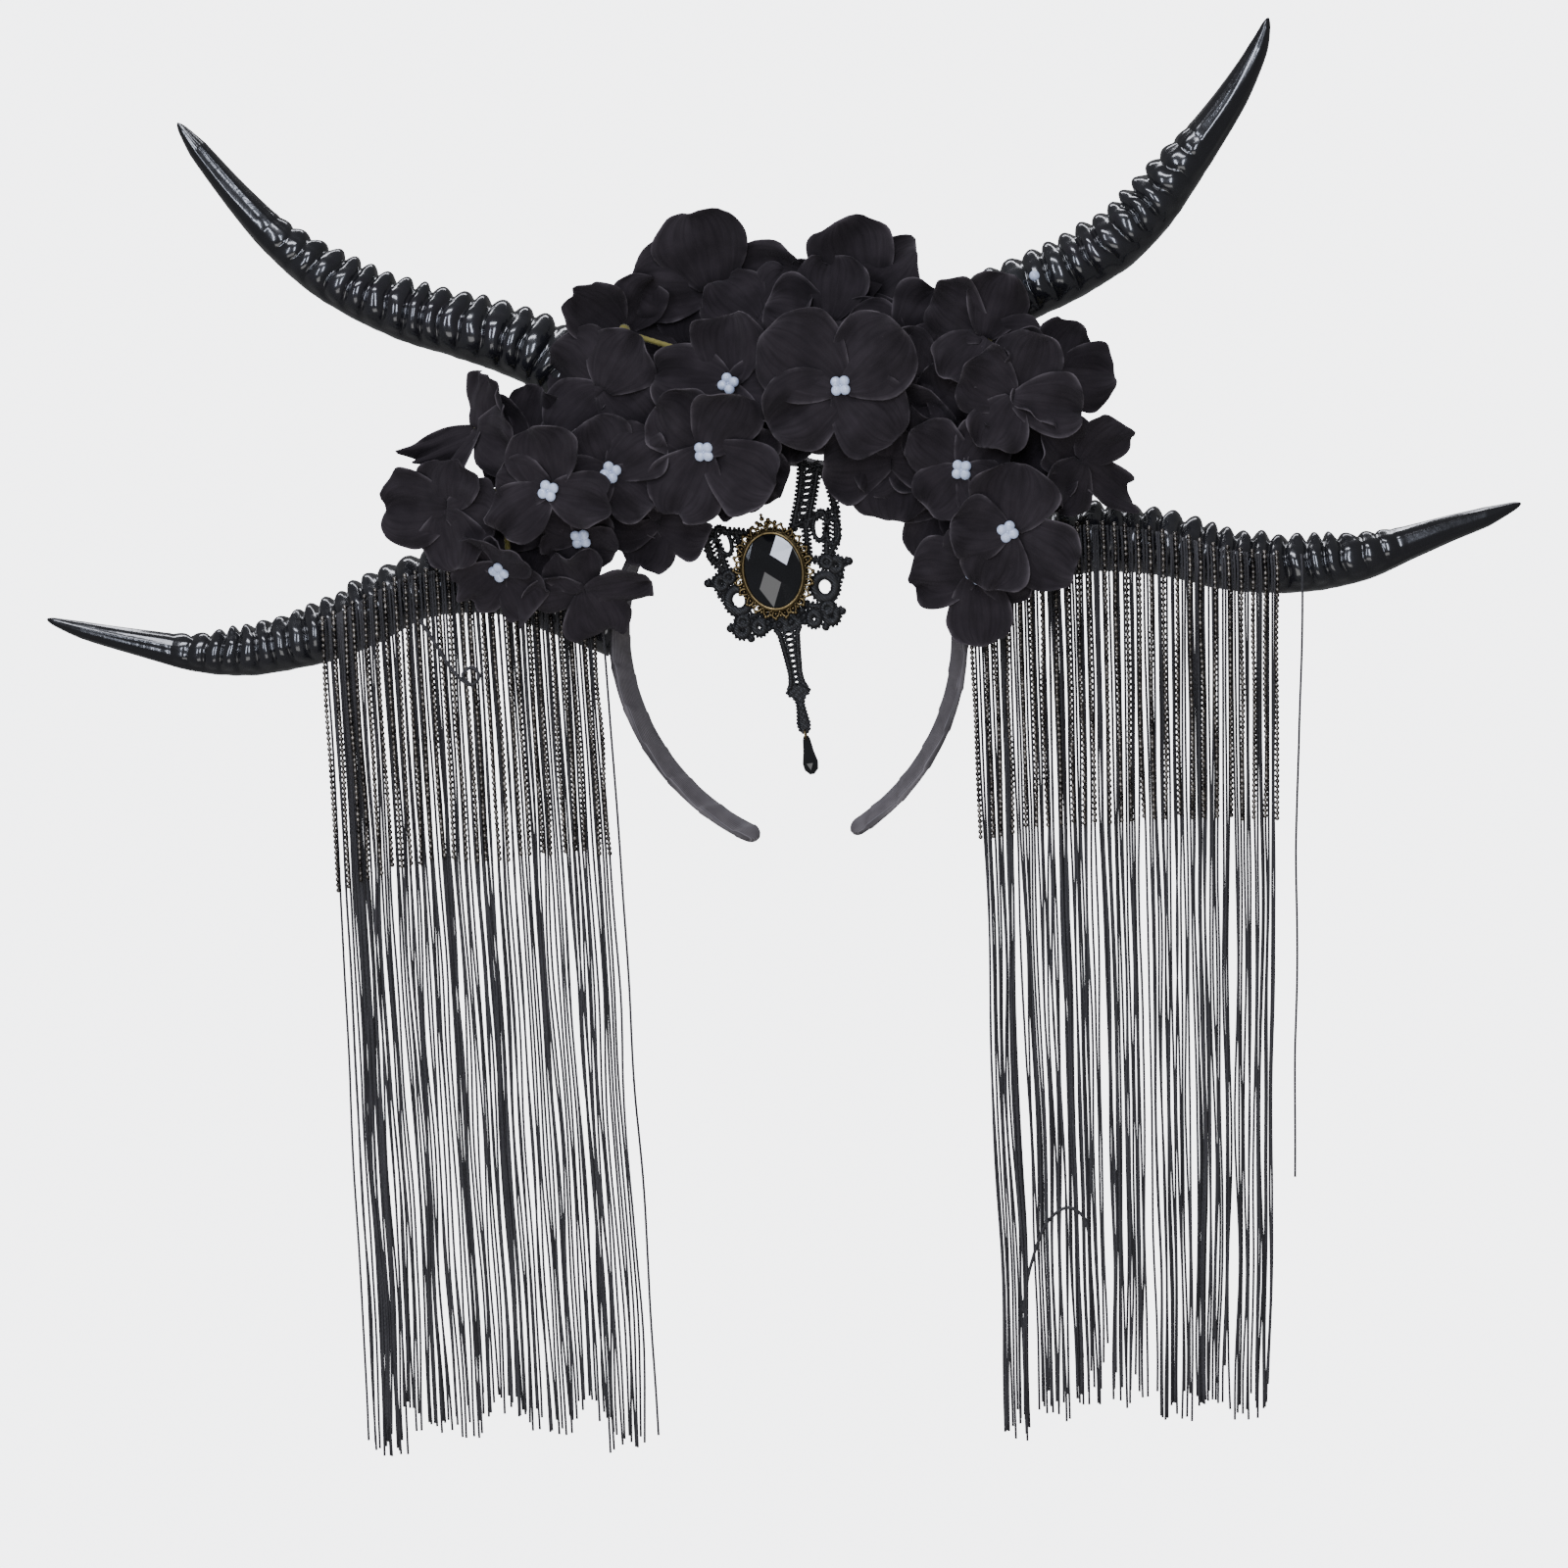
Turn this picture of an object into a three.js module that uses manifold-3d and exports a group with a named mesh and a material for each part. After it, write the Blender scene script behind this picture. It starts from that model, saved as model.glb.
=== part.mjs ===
// An antelope horn headband: a ribbon-wrapped band carries four ridged horns, sprays of silk
// blossoms, bead chains and long threads over the lower horns, and a lace pendant with a stone.
//
// Millimetres. +Z is up, +X is the viewer's right and the front faces -Y. The origin is the inside
// of the band at its top, where the band sits on a head.

import * as THREE from 'three';
import { mergeVertices } from 'three/addons/utils/BufferGeometryUtils.js';
import Module from 'manifold-3d';

const wasm = await Module();
wasm.setup();

// Clearance between pieces that touch
const gap = 0.3;

// Headband: a half circle over the head, then two arms that close inwards
const headRadius = 64;
const armRadius = 86.3;
const armSweep = 63; // degrees
const bandThickness = 3.4;
const bandWidth = 14;
const armTipWidth = 8.5;
const armTwist = 31; // degrees, turns the inside of each arm to the front

// Horns: the reach is measured sideways from the root, and the girth is the thickness there
const upperReach = 190;
const upperGirth = 27;
const upperRootAngle = 29; // degrees from the top of the band
const upperRidgePitch = 7.9;
const lowerReach = 220;
const lowerGirth = 23.3;
const lowerRootAngle = 85; // degrees from the top of the band
const lowerRidgePitch = 7;
const ridgeHeight = 2;
const sweepBack = 12;
const smoothTip = 0.25; // share of a horn's length without ridges
const plainRoot = 0.15; // share of a horn's length hidden by the blossoms

// Blossoms
const blossomRadius = 29;
const petalWall = 1.2;
const centreRadius = 4.4;
const centreHeight = 2.2;
const stemRadius = 1.1;

// Curtains of bead chain and thread, whose drops are measured below the root of a lower horn
const threadWall = 1.6;
const chainWall = 1.8;
const chainDrop = 88;
const threadDrop = 325;
const curtainReach = 111; // how far each curtain spreads along its horn
const tiedAt = 62; // degrees ahead of the top of a horn, where the curtains are sewn on
const lockThickness = 3.4;

// Pendant
const stoneWidth = 21.5;
const stoneHeight = 28;
const stoneDepth = 5;
const bezelWidth = 4.2;
const bezelDepth = 3.4;
const laceWidth = 56;
const laceWall = 1.4;
const laceCord = 2.3;
const headRoom = 3.2; // space between the band's front edge and the lace
const stoneAcross = -2.4;
const stoneDown = -38.6;
const pendantLean = 4.9; // degrees
const scallopDepth = 1;
const tailLength = 50; // below the foot of the stone
const eyeRadius = 0.8;
const ringRadius = 2;
const ringWire = 0.35;
const dropLength = 15;
const dropWidth = 6.4;

// Pearl on the upper right horn
const pearlRadius = 2;
const pearlAcross = 106.5;
const pearlTurn = 20; // degrees above the front of the horn

const rad = THREE.MathUtils.degToRad;
const lerp = THREE.MathUtils.lerp;
const point = (x, y, z) => new THREE.Vector3(x, y, z);

// Materials

const finish = (color, roughness, metalness = 0) => (
  new THREE.MeshStandardMaterial({ color, roughness, metalness })
);
const satin = () => finish('#3a3637', 0.5);
const lacquer = () => finish('#0b0b0d', 0.12);
const silk = () => finish('#2b282b', 0.75);
const pearlPaint = () => finish('#b9c4dc', 0.3);
const stemWrap = () => finish('#6b6429', 0.8);
const gunmetal = () => finish('#4c4438', 0.35, 0.9);
const blackThread = () => finish('#1b1a1c', 0.7);
const cottonLace = () => finish('#161517', 0.85);
const antiqueBrass = () => finish('#7d6335', 0.35, 1);
const blackGlass = () => finish('#0a0a0c', 0.04);

// Closed bodies

// A body through rings with one count of points each, capped at both ends or closed on itself
function loft(rings, round = false) {
  const count = rings[0].length;
  const index = [];
  const spans = round ? rings.length : rings.length - 1;
  for (let i = 0; i < spans; i += 1) {
    for (let j = 0; j < count; j += 1) {
      const [here, next] = [i * count + j, i * count + (j + 1) % count];
      const [above, aboveNext] = [here, next].map((at) => (at + count) % (rings.length * count));
      index.push(here, next, aboveNext, here, aboveNext, above);
    }
  }
  const last = (rings.length - 1) * count;
  for (let j = 1; j < count - 1 && !round; j += 1) {
    index.push(0, j + 1, j, last, last + j, last + j + 1);
  }
  return closedBody(rings.flat(), index);
}

// A wall between two grids of points, joined along their four edges
function slab(front, back) {
  const columns = front.length;
  const rows = front[0].length;
  const behind = columns * rows;
  const at = (i, j) => i * rows + j;
  const index = [];
  const quad = (a, b, c, d) => index.push(a, b, c, a, c, d);
  for (let i = 0; i < columns - 1; i += 1) {
    for (let j = 0; j < rows - 1; j += 1) {
      quad(at(i, j), at(i + 1, j), at(i + 1, j + 1), at(i, j + 1));
      quad(behind + at(i, j), behind + at(i, j + 1), behind + at(i + 1, j + 1), behind + at(i + 1, j));
    }
  }
  for (let i = 0; i < columns - 1; i += 1) {
    quad(at(i, 0), behind + at(i, 0), behind + at(i + 1, 0), at(i + 1, 0));
    quad(at(i, rows - 1), at(i + 1, rows - 1), behind + at(i + 1, rows - 1), behind + at(i, rows - 1));
  }
  for (let j = 0; j < rows - 1; j += 1) {
    quad(at(0, j), at(0, j + 1), behind + at(0, j + 1), behind + at(0, j));
    quad(at(columns - 1, j), behind + at(columns - 1, j), behind + at(columns - 1, j + 1),
      at(columns - 1, j + 1));
  }
  return closedBody([...front.flat(), ...back.flat()], index);
}

// Points and faces as a geometry whose faces point out
function closedBody(points, index) {
  let volume = 0;
  for (let i = 0; i < index.length; i += 3) {
    const [a, b, c] = [points[index[i]], points[index[i + 1]], points[index[i + 2]]];
    volume += a.dot(b.clone().cross(c));
  }
  const faces = volume < 0 ? index.reverse() : index;
  const geometry = new THREE.BufferGeometry().setFromPoints(points);
  geometry.setIndex(faces);
  return geometry;
}

function toSolid(geometry) {
  const bare = geometry.clone();
  bare.deleteAttribute('normal');
  bare.deleteAttribute('uv');
  const merged = mergeVertices(bare, 1e-4);
  return new wasm.Manifold(new wasm.Mesh({
    numProp: 3,
    vertProperties: Float32Array.from(merged.attributes.position.array),
    triVerts: Uint32Array.from(merged.index.array),
  }));
}

// The geometry of a solid, without the slivers and crumbs that a cut leaves
function toGeometry(solid) {
  const bodies = solid.asOriginal().simplify(gap / 3).decompose();
  bodies.sort((a, b) => b.volume() - a.volume());
  const { vertProperties, triVerts } = bodies[0].getMesh();
  const geometry = new THREE.BufferGeometry();
  geometry.setAttribute('position', new THREE.BufferAttribute(Float32Array.from(vertProperties), 3));
  geometry.setIndex(Array.from(triVerts));
  return geometry;
}

const headpiece = new THREE.Group();

function addPiece(name, geometry, material) {
  const mesh = new THREE.Mesh(geometry, material);
  mesh.name = name;
  headpiece.add(mesh);
  return mesh;
}

// Headband

const bandRadius = headRadius + bandThickness / 2;
const armCurve = armRadius + bandThickness / 2;
const topLength = bandRadius * Math.PI / 2;
const bandReach = topLength + armCurve * rad(armSweep);
const tipRound = armTipWidth / 2;

// The middle of the band at a distance along it from the top, negative on the left
function bandAt(distance) {
  const side = distance < 0 ? -1 : 1;
  const along = Math.abs(distance);
  const turn = Math.min(along / bandRadius, Math.PI / 2);
  const fall = Math.max(along - topLength, 0) / armCurve;
  const x = bandRadius * Math.sin(turn) - armCurve * (1 - Math.cos(fall));
  const z = bandRadius * Math.cos(turn) - headRadius - armCurve * Math.sin(fall);
  return {
    middle: point(side * x, 0, z),
    outward: point(side * Math.sin(turn + fall), 0, Math.cos(turn + fall)),
  };
}

// The width of the band, which tapers along each arm and is rounded off at its tip
function bandWidthAt(along) {
  const width = lerp(bandWidth, armTipWidth, along / bandReach);
  const past = Math.max(along - (bandReach - tipRound), 0) / tipRound;
  const blunt = 0.22; // share of the width left at the very end
  return width * Math.sqrt(1 - (1 - blunt ** 2) * past ** 2);
}

// One flat section of the band with softened corners
function bandRing(distance, grow) {
  const along = Math.abs(distance);
  const { middle, outward } = bandAt(distance);
  const twistStart = 0.4 * topLength;
  const twist = rad(armTwist) * THREE.MathUtils.smoothstep(along, twistStart, topLength);
  const back = point(0, 1, 0);
  const thick = outward.clone().multiplyScalar(Math.cos(twist)).addScaledVector(back, Math.sin(twist));
  const wide = back.multiplyScalar(Math.cos(twist)).addScaledVector(outward, -Math.sin(twist));
  const halfWidth = bandWidthAt(along) / 2 + grow;
  const halfThick = bandThickness / 2 + grow;
  const corner = 0.35 * bandThickness;
  const outline = [
    [halfWidth, halfThick - corner], [halfWidth - corner, halfThick],
    [corner - halfWidth, halfThick], [-halfWidth, halfThick - corner],
    [-halfWidth, corner - halfThick], [corner - halfWidth, -halfThick],
    [halfWidth - corner, -halfThick], [halfWidth, corner - halfThick],
  ];
  return outline.map(([w, t]) => middle.clone().addScaledVector(wide, w).addScaledVector(thick, t));
}

function bandBody(grow = 0) {
  const straight = bandReach - tipRound;
  const steps = 30;
  const distances = [];
  for (let i = 0; i <= steps; i += 1) {
    distances.push(lerp(-straight, straight, i / steps));
  }
  const ends = [0.5, 0.85, 1].map((share) => straight + tipRound * share);
  const all = [...ends.map((end) => -end).reverse(), ...distances, ...ends];
  return loft(all.map((distance) => bandRing(distance, grow)));
}

addPiece('headband', bandBody(), satin());
const bandClearance = toSolid(bandBody(gap));

// All the space inside the band's middle line, which no horn or stem enters
function headSpace() {
  const outline = new THREE.Shape();
  const steps = 48;
  for (let i = 0; i <= steps; i += 1) {
    const { middle } = bandAt(lerp(-bandReach, bandReach, i / steps));
    if (i === 0) outline.moveTo(middle.x, middle.z);
    else outline.lineTo(middle.x, middle.z);
  }
  const depth = Math.max(upperGirth, lowerGirth, bandWidth) + 2 * ridgeHeight;
  const space = new THREE.ExtrudeGeometry(outline, { depth, bevelEnabled: false });
  space.rotateX(Math.PI / 2);
  space.translate(0, depth / 2, 0);
  return toSolid(space);
}
const keptClear = bandClearance.add(headSpace());

// Horns
//
// Each row is a place on a horn's middle line, from root to tip: how far out and how far up from
// the root, as shares of the reach, and the thickness there as a share of the girth.

const upperLeftLine = [
  [0.1, 0.1, 1], [0.218, 0.229, 1], [0.288, 0.291, 0.94], [0.436, 0.355, 0.86],
  [0.555, 0.393, 0.76], [0.704, 0.474, 0.67], [0.802, 0.555, 0.53], [0.878, 0.644, 0.43],
  [0.961, 0.757, 0.29], [1, 0.814, 0.08],
];
const upperRightLine = [
  [0.1, 0.12, 0.96], [0.222, 0.262, 0.9], [0.338, 0.338, 0.84], [0.432, 0.373, 0.81],
  [0.548, 0.431, 0.79], [0.63, 0.497, 0.7], [0.691, 0.568, 0.64], [0.746, 0.631, 0.54],
  [0.809, 0.711, 0.43], [0.862, 0.796, 0.28], [0.886, 0.854, 0.08],
];
const lowerLeftLine = [
  [0.105, 0.052, 0.97], [0.187, 0.09, 0.99], [0.28, 0.1, 1], [0.358, 0.091, 0.98],
  [0.432, 0.058, 0.97], [0.508, 0.028, 0.9], [0.587, 0.01, 0.81], [0.67, 0, 0.73],
  [0.756, 0.005, 0.6], [0.834, 0.024, 0.485], [0.962, 0.06, 0.29], [1.026, 0.083, 0.09],
];
const lowerRightLine = [
  [0.13, 0.074, 1.03], [0.226, 0.097, 1.06], [0.311, 0.089, 1], [0.386, 0.071, 0.94],
  [0.47, 0.042, 0.9], [0.562, 0.026, 0.85], [0.639, 0.024, 0.81], [0.717, 0.033, 0.71],
  [0.784, 0.051, 0.56], [0.86, 0.071, 0.43], [0.925, 0.086, 0.32], [0.986, 0.104, 0.09],
];

// A horn's middle line, as a curve that starts inside the band so that its root can be cut there
function hornLine(side, rootAngle, reach, rows) {
  const root = bandAt(side * bandRadius * rad(rootAngle)).middle;
  const places = rows.map(([out, up]) => (
    point(root.x + side * out * reach, sweepBack * out ** 2, root.z + up * reach)
  ));
  const inward = root.clone().sub(places[0]).setLength(bandWidth / 2);
  const path = [root.clone().add(inward), root, ...places];
  const curve = new THREE.CatmullRomCurve3(path, false, 'centripetal');
  const shares = [rows[0][2], rows[0][2], ...rows.map((row) => row[2])];
  return { curve, shares };
}

// The middle, thickness and directions of a horn at a share of its length
function hornAt({ curve, shares }, girth, share) {
  const place = curve.getUtoTmapping(share) * (shares.length - 1);
  const before = Math.min(Math.floor(place), shares.length - 2);
  const thickness = girth * lerp(shares[before], shares[before + 1], place - before);
  const tangent = curve.getTangentAt(share);
  const back = point(0, 1, 0);
  back.addScaledVector(tangent, -back.dot(tangent)).normalize();
  const up = tangent.clone().cross(back);
  if (up.z < 0) up.negate();
  return { middle: curve.getPointAt(share), thickness, tangent, back, up };
}

const hornSides = 8;
const ridgeTurn = 40; // degrees forward from the top of a horn, where its ridges are highest
const valleyDepth = 0.3 * ridgeHeight; // below the horn's own thickness
const hornPoint = 0.4 * ridgeHeight; // the least radius, at the tip
const rootRidge = 0.5; // how far the plain root is raised, as a share of a ridge
const tipRidge = 0.2; // how far the smooth tip is raised, as a share of a ridge

// One section of a horn: a ridge rises most on the top and front and dies out underneath
function hornRing(place, ridge, grow) {
  const ring = [];
  for (let i = 0; i < hornSides; i += 1) {
    const angle = i / hornSides * 2 * Math.PI;
    const lift = (1 + Math.cos(angle + rad(ridgeTurn))) / 2;
    const raised = ridge * lift * ridgeHeight - (1 - ridge) * valleyDepth;
    const radius = Math.max(place.thickness / 2 + raised, hornPoint) + grow;
    const spoke = place.up.clone().multiplyScalar(Math.cos(angle))
      .addScaledVector(place.back, Math.sin(angle));
    ring.push(place.middle.clone().addScaledVector(spoke, radius));
  }
  return ring;
}

// The stations of a horn, as shares of its length, each with how far its ridge is raised
function hornStations(length, pitch) {
  const ridgedEnd = 1 - smoothTip;
  const ridges = Math.round((ridgedEnd - plainRoot) * length / pitch);
  const step = (ridgedEnd - plainRoot) / ridges;
  const stations = [[0, rootRidge], [plainRoot / 2, rootRidge]];
  for (let i = 0; i < ridges; i += 1) {
    stations.push([plainRoot + i * step, 0], [plainRoot + (i + 0.5) * step, 1]);
  }
  for (const share of [0, 0.3, 0.6, 0.85, 1]) {
    stations.push([ridgedEnd + smoothTip * share, tipRidge]);
  }
  return stations;
}

function hornBody(line, girth, pitch, grow = 0) {
  const stations = hornStations(line.curve.getLength(), pitch);
  return loft(stations.map(([share, ridge]) => hornRing(hornAt(line, girth, share), ridge, grow)));
}

const horns = [
  ['horn_upper_left', -1, upperRootAngle, upperReach, upperGirth, upperRidgePitch, upperLeftLine],
  ['horn_upper_right', 1, upperRootAngle, upperReach, upperGirth, upperRidgePitch, upperRightLine],
  ['horn_lower_left', -1, lowerRootAngle, lowerReach, lowerGirth, lowerRidgePitch, lowerLeftLine],
  ['horn_lower_right', 1, lowerRootAngle, lowerReach, lowerGirth, lowerRidgePitch, lowerRightLine],
].map(([name, side, rootAngle, reach, girth, pitch, rows]) => {
  const line = hornLine(side, rootAngle, reach, rows);
  const clearance = toSolid(hornBody(line, girth, pitch, gap));
  return { name, side, line, girth, pitch, clearance };
});
for (const { name, line, girth, pitch } of horns) {
  const horn = toSolid(hornBody(line, girth, pitch)).subtract(keptClear);
  addPiece(name, toGeometry(horn), lacquer());
}
const hornClearance = wasm.Manifold.union(horns.map((horn) => horn.clearance));
const [, upperRight, lowerLeft, lowerRight] = horns;

// Blossoms
//
// Each row places one blossom: its middle across, up and ahead of the seat of its spray and its
// size, as shares of the blossom radius, then the degrees that it turns to the side, tips up and
// spins, how deep its cup is and how far opposite petals fold, as shares of its radius, and where
// its stem leaves the spray, as a share of the spray's length. The last column says whether its
// painted centre shows.

const leftBlossoms = [
  [0.2, 0.14, 0.88, 0.68, -10, -10, 20, 0.14, 0.04, 0.1, false],
  [-0.38, 1.93, 0.86, 0.92, -6, 4, 30, -0.1, 0.06, 0.25, false],
  [-0.34, 0.87, 1.2, 0.76, 8, 4, -14, 0.12, -0.05, 0.2, true],
  [-0.79, 0.05, 1.22, 0.56, -5, -18, 40, 0.1, 0.05, 0.35, true],
  [-0.82, -0.67, 1.04, 0.78, 0, -20, 18, 0.1, 0.06, 0.3, false],
  [-1.1, 0.72, 1.62, 0.84, -8, 5, -22, 0.14, 0.05, 0.5, true],
  [-2.1, 1.52, 0.72, 0.84, -35, 8, 40, 0.2, 0.08, 0.75, false],
  [-1.9, -0.31, 1.14, 0.72, -26, -26, 15, 0.14, 0.06, 0.8, true],
  [-2.55, 0.53, 1.1, 0.84, -14, -4, 8, 0.08, -0.06, 1, false],
];
const topBlossoms = [
  [-0.79, 2.35, -0.1, 1.12, 180, 16, 20, -0.12, 0.06, 0.95, false],
  [-2, 1.88, 0.2, 0.88, -140, 10, 32, -0.1, 0.1, 0.75, false],
  [1.17, 2.08, 0.1, 1.04, 170, 10, -6, -0.1, 0.05, 0.9, false],
  [-0.54, 1.15, 1.06, 0.9, -8, 12, -12, 0.14, 0.05, 0.6, true],
  [-0.89, 0.33, 1.38, 0.88, -10, -6, -42, 0.12, -0.05, 0.3, true],
  [0.96, 1.06, 1.5, 1.06, 4, 2, 44, 0.08, 0.04, 0.5, true],
];
const rightBlossoms = [
  [-0.1, 0.83, 0.92, 0.86, 6, -8, 10, 0.1, 0.05, 0.1, false],
  [0.48, 1.78, 0.84, 0.8, 6, 10, 30, 0.12, 0.06, 0.2, false],
  [0.85, 0.63, 1.16, 0.76, -6, 2, -35, 0.14, 0.05, 0.35, true],
  [1.25, 2.31, 0.9, 0.84, 10, 14, 35, 0.12, 0.08, 0.45, false],
  [0.93, -0.73, 1.12, 0.82, -8, -10, -5, 0.1, 0.04, 0.4, true],
  [1.41, -0.17, 1.58, 0.88, 6, -4, 22, 0.12, -0.05, 0.5, true],
  [1.6, 1.51, 1.3, 0.84, 8, 8, 10, 0.2, 0.06, 0.6, false],
  [2.1, 1.74, 0.84, 0.78, 25, 12, 20, 0.14, 0.06, 0.85, false],
  [2.35, 0.61, 0.8, 0.78, 35, -12, 42, 0.2, 0.08, 1, false],
];

// The rim of a blossom: four broad round petals with a notch between each two
const petalRim = [[-45, 0.64], [-29, 0.96], [0, 1], [29, 0.96]];
const petalBase = 0.45; // where a petal starts to bend, as a share of its radius

// How far a petal rises above the middle of its blossom at a distance from it
const petalRise = (radius, bend, reach) => bend * radius * (reach / radius) ** 1.5;

// Points of a blossom around its middle, on one face of its wall, facing +Z with a petal at +Y
function petalFace(radius, cup, fold, height) {
  const face = [petalBase, 1].map((share) => {
    const ring = [];
    for (let petal = 0; petal < 4; petal += 1) {
      for (const [turn, rim] of petalRim) {
        const angle = rad(90 * petal + turn);
        const reach = share * radius * lerp(1, rim, share);
        const rise = petalRise(radius, cup + fold * Math.cos(2 * angle), reach);
        ring.push(point(reach * Math.sin(angle), reach * Math.cos(angle), rise + height));
      }
    }
    return ring;
  });
  return [point(0, 0, height), ...face.flat()];
}

function blossomBody(radius, cup, fold, wall) {
  const front = petalFace(radius, cup, fold, wall / 2);
  const back = petalFace(radius, cup, fold, -wall / 2);
  const count = 4 * petalRim.length;
  const behind = front.length;
  const index = [];
  for (let i = 0; i < count; i += 1) {
    const inner = 1 + i;
    const innerNext = 1 + (i + 1) % count;
    const rim = inner + count;
    const rimNext = innerNext + count;
    index.push(0, innerNext, inner, inner, innerNext, rimNext, inner, rimNext, rim);
    index.push(behind, behind + inner, behind + innerNext);
    index.push(behind + inner, behind + rimNext, behind + innerNext);
    index.push(behind + inner, behind + rim, behind + rimNext);
    index.push(rim, rimNext, behind + rimNext, rim, behind + rimNext, behind + rim);
  }
  return closedBody([...front, ...back], index);
}

// Turns a shape that faces +Z to face the viewer, spun, tipped up and turned to the side
function blossomPose(middle, yaw, pitch, spin) {
  const turns = [
    new THREE.Matrix4().makeRotationZ(rad(yaw)),
    new THREE.Matrix4().makeRotationX(rad(90 - pitch)),
    new THREE.Matrix4().makeRotationZ(rad(-spin)),
  ];
  const pose = new THREE.Matrix4().makeTranslation(middle.x, middle.y, middle.z);
  return turns.reduce((whole, turn) => whole.multiply(turn), pose);
}

// A four-lobed painted dome that sits on the middle of a blossom
function centreBody() {
  const corners = 12;
  const lobe = 0.2; // how far the lobes stand out, as a share of the radius
  const rings = [[0, 1], [1, 0.55]].map(([height, share]) => {
    const ring = [];
    for (let i = 0; i < corners; i += 1) {
      const angle = i / corners * 2 * Math.PI;
      const reach = centreRadius * share * (1 - lobe + lobe * Math.cos(4 * angle));
      ring.push(point(reach * Math.sin(angle), reach * Math.cos(angle), height * centreHeight));
    }
    return ring;
  });
  return loft(rings);
}

// Stems
//
// Each spray sits on the band at an angle from its top, and its main stem passes points across, up
// and ahead of that seat, as shares of the blossom radius. It sends a stem to each blossom's back.

const sprays = [
  {
    name: 'left',
    angle: -48,
    reach: [[-0.22, 0.19, 0.3], [-0.92, 0.39, 0.4], [-1.62, 0.59, 0.35], [-2.22, 0.69, 0.3]],
    rows: leftBlossoms,
  },
  {
    name: 'top',
    angle: 4,
    reach: [[-0.01, 0.45, 0.2], [-0.06, 0.95, 0.3], [-0.16, 1.45, 0.15]],
    rows: topBlossoms,
  },
  {
    name: 'right',
    angle: 50,
    reach: [[0.26, 0.35, 0.3], [0.96, 0.55, 0.4], [1.56, 0.75, 0.35], [1.96, 0.85, 0.3]],
    rows: rightBlossoms,
  },
];

// A place across, up and ahead of a spray's seat on the band
function awayFromSeat({ angle }, across, up, ahead) {
  const seat = bandAt(bandRadius * rad(angle)).middle;
  return seat.add(point(across, -ahead, up).multiplyScalar(blossomRadius));
}

function stemTube(points, radius) {
  const section = new THREE.Shape();
  const sides = 4;
  for (let i = 0; i < sides; i += 1) {
    const angle = i / sides * 2 * Math.PI;
    const corner = [radius * Math.cos(angle), radius * Math.sin(angle)];
    if (i === 0) section.moveTo(...corner);
    else section.lineTo(...corner);
  }
  const extrudePath = new THREE.CatmullRomCurve3(points, false, 'centripetal');
  return toSolid(new THREE.ExtrudeGeometry(section, { steps: points.length, extrudePath }));
}

const stemLead = 4 * stemRadius; // how far a stem runs straight before it bends

// The line of a spray's main stem, from its seat on the band
function sprayLine(spray) {
  const { middle, outward } = bandAt(bandRadius * rad(spray.angle));
  const start = middle.addScaledVector(outward, bandThickness / 2 + gap);
  const lead = start.clone().addScaledVector(outward, stemLead);
  return [start, lead, ...spray.reach.map((row) => awayFromSeat(spray, ...row))];
}

// A spray's main stem with its branches, which swing forward to meet their blossoms from behind
function stemBody(line, blossoms, radius) {
  const main = new THREE.CatmullRomCurve3(line, false, 'centripetal');
  const branches = blossoms.map(({ pose, joint }) => {
    const from = main.getPointAt(lerp(0.15, 1, joint));
    const seat = point(0, 0, -petalWall / 2 - gap).applyMatrix4(pose);
    const lead = point(0, 0, -petalWall / 2 - gap - stemLead).applyMatrix4(pose);
    const bend = from.clone().lerp(lead, 0.5);
    bend.y = lerp(from.y, lead.y, 0.85);
    return stemTube([from, bend, lead, seat], radius);
  });
  return stemTube(line, radius).add(wasm.Manifold.union(branches));
}

// Curtains
//
// Each one is sewn along the upper front of a lower horn, lies on its front and hangs from there.

const drapeSteps = 2;

// The share of a horn's length at which it has come a distance sideways
function shareAcross({ line }, across) {
  let [near, far] = [0, 1];
  for (let i = 0; i < 24; i += 1) {
    const middle = (near + far) / 2;
    if (Math.abs(line.curve.getPointAt(middle).x) < across) near = middle;
    else far = middle;
  }
  return near;
}

// Points from the sewn edge round the horn's front and down, at a distance from its ridges
function drapeColumn(curtain, place, offset, bottom) {
  const { horn, drift } = curtain;
  const across = curtainInner + place * curtain.spread * curtainReach;
  const { middle, thickness, tangent } = hornAt(horn.line, horn.girth, shareAcross(horn, across));
  const stretch = Math.hypot(tangent.x, tangent.z) / Math.abs(tangent.x);
  const step = rad(90 - tiedAt) / drapeSteps;
  const reach = (thickness / 2 + ridgeHeight + offset) / Math.cos(step / 2);
  const column = [];
  for (let i = 0; i <= drapeSteps; i += 1) {
    const angle = i * step + rad(tiedAt);
    column.push(point(
      middle.x,
      middle.y - reach * Math.sin(angle),
      middle.z + reach * stretch * Math.cos(angle),
    ));
  }
  const hang = column.at(-1);
  for (const share of [0.5, 1]) {
    const fall = share * (hang.z - bottom);
    column.push(point(hang.x + lerp(...drift, place) * fall, hang.y, hang.z - fall));
  }
  return column;
}

const curtainInner = bandAt(topLength).middle.x + bandWidth / 2;
const curtainTop = bandAt(bandRadius * rad(lowerRootAngle)).middle.z;
const curtainColumns = 7;

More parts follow.
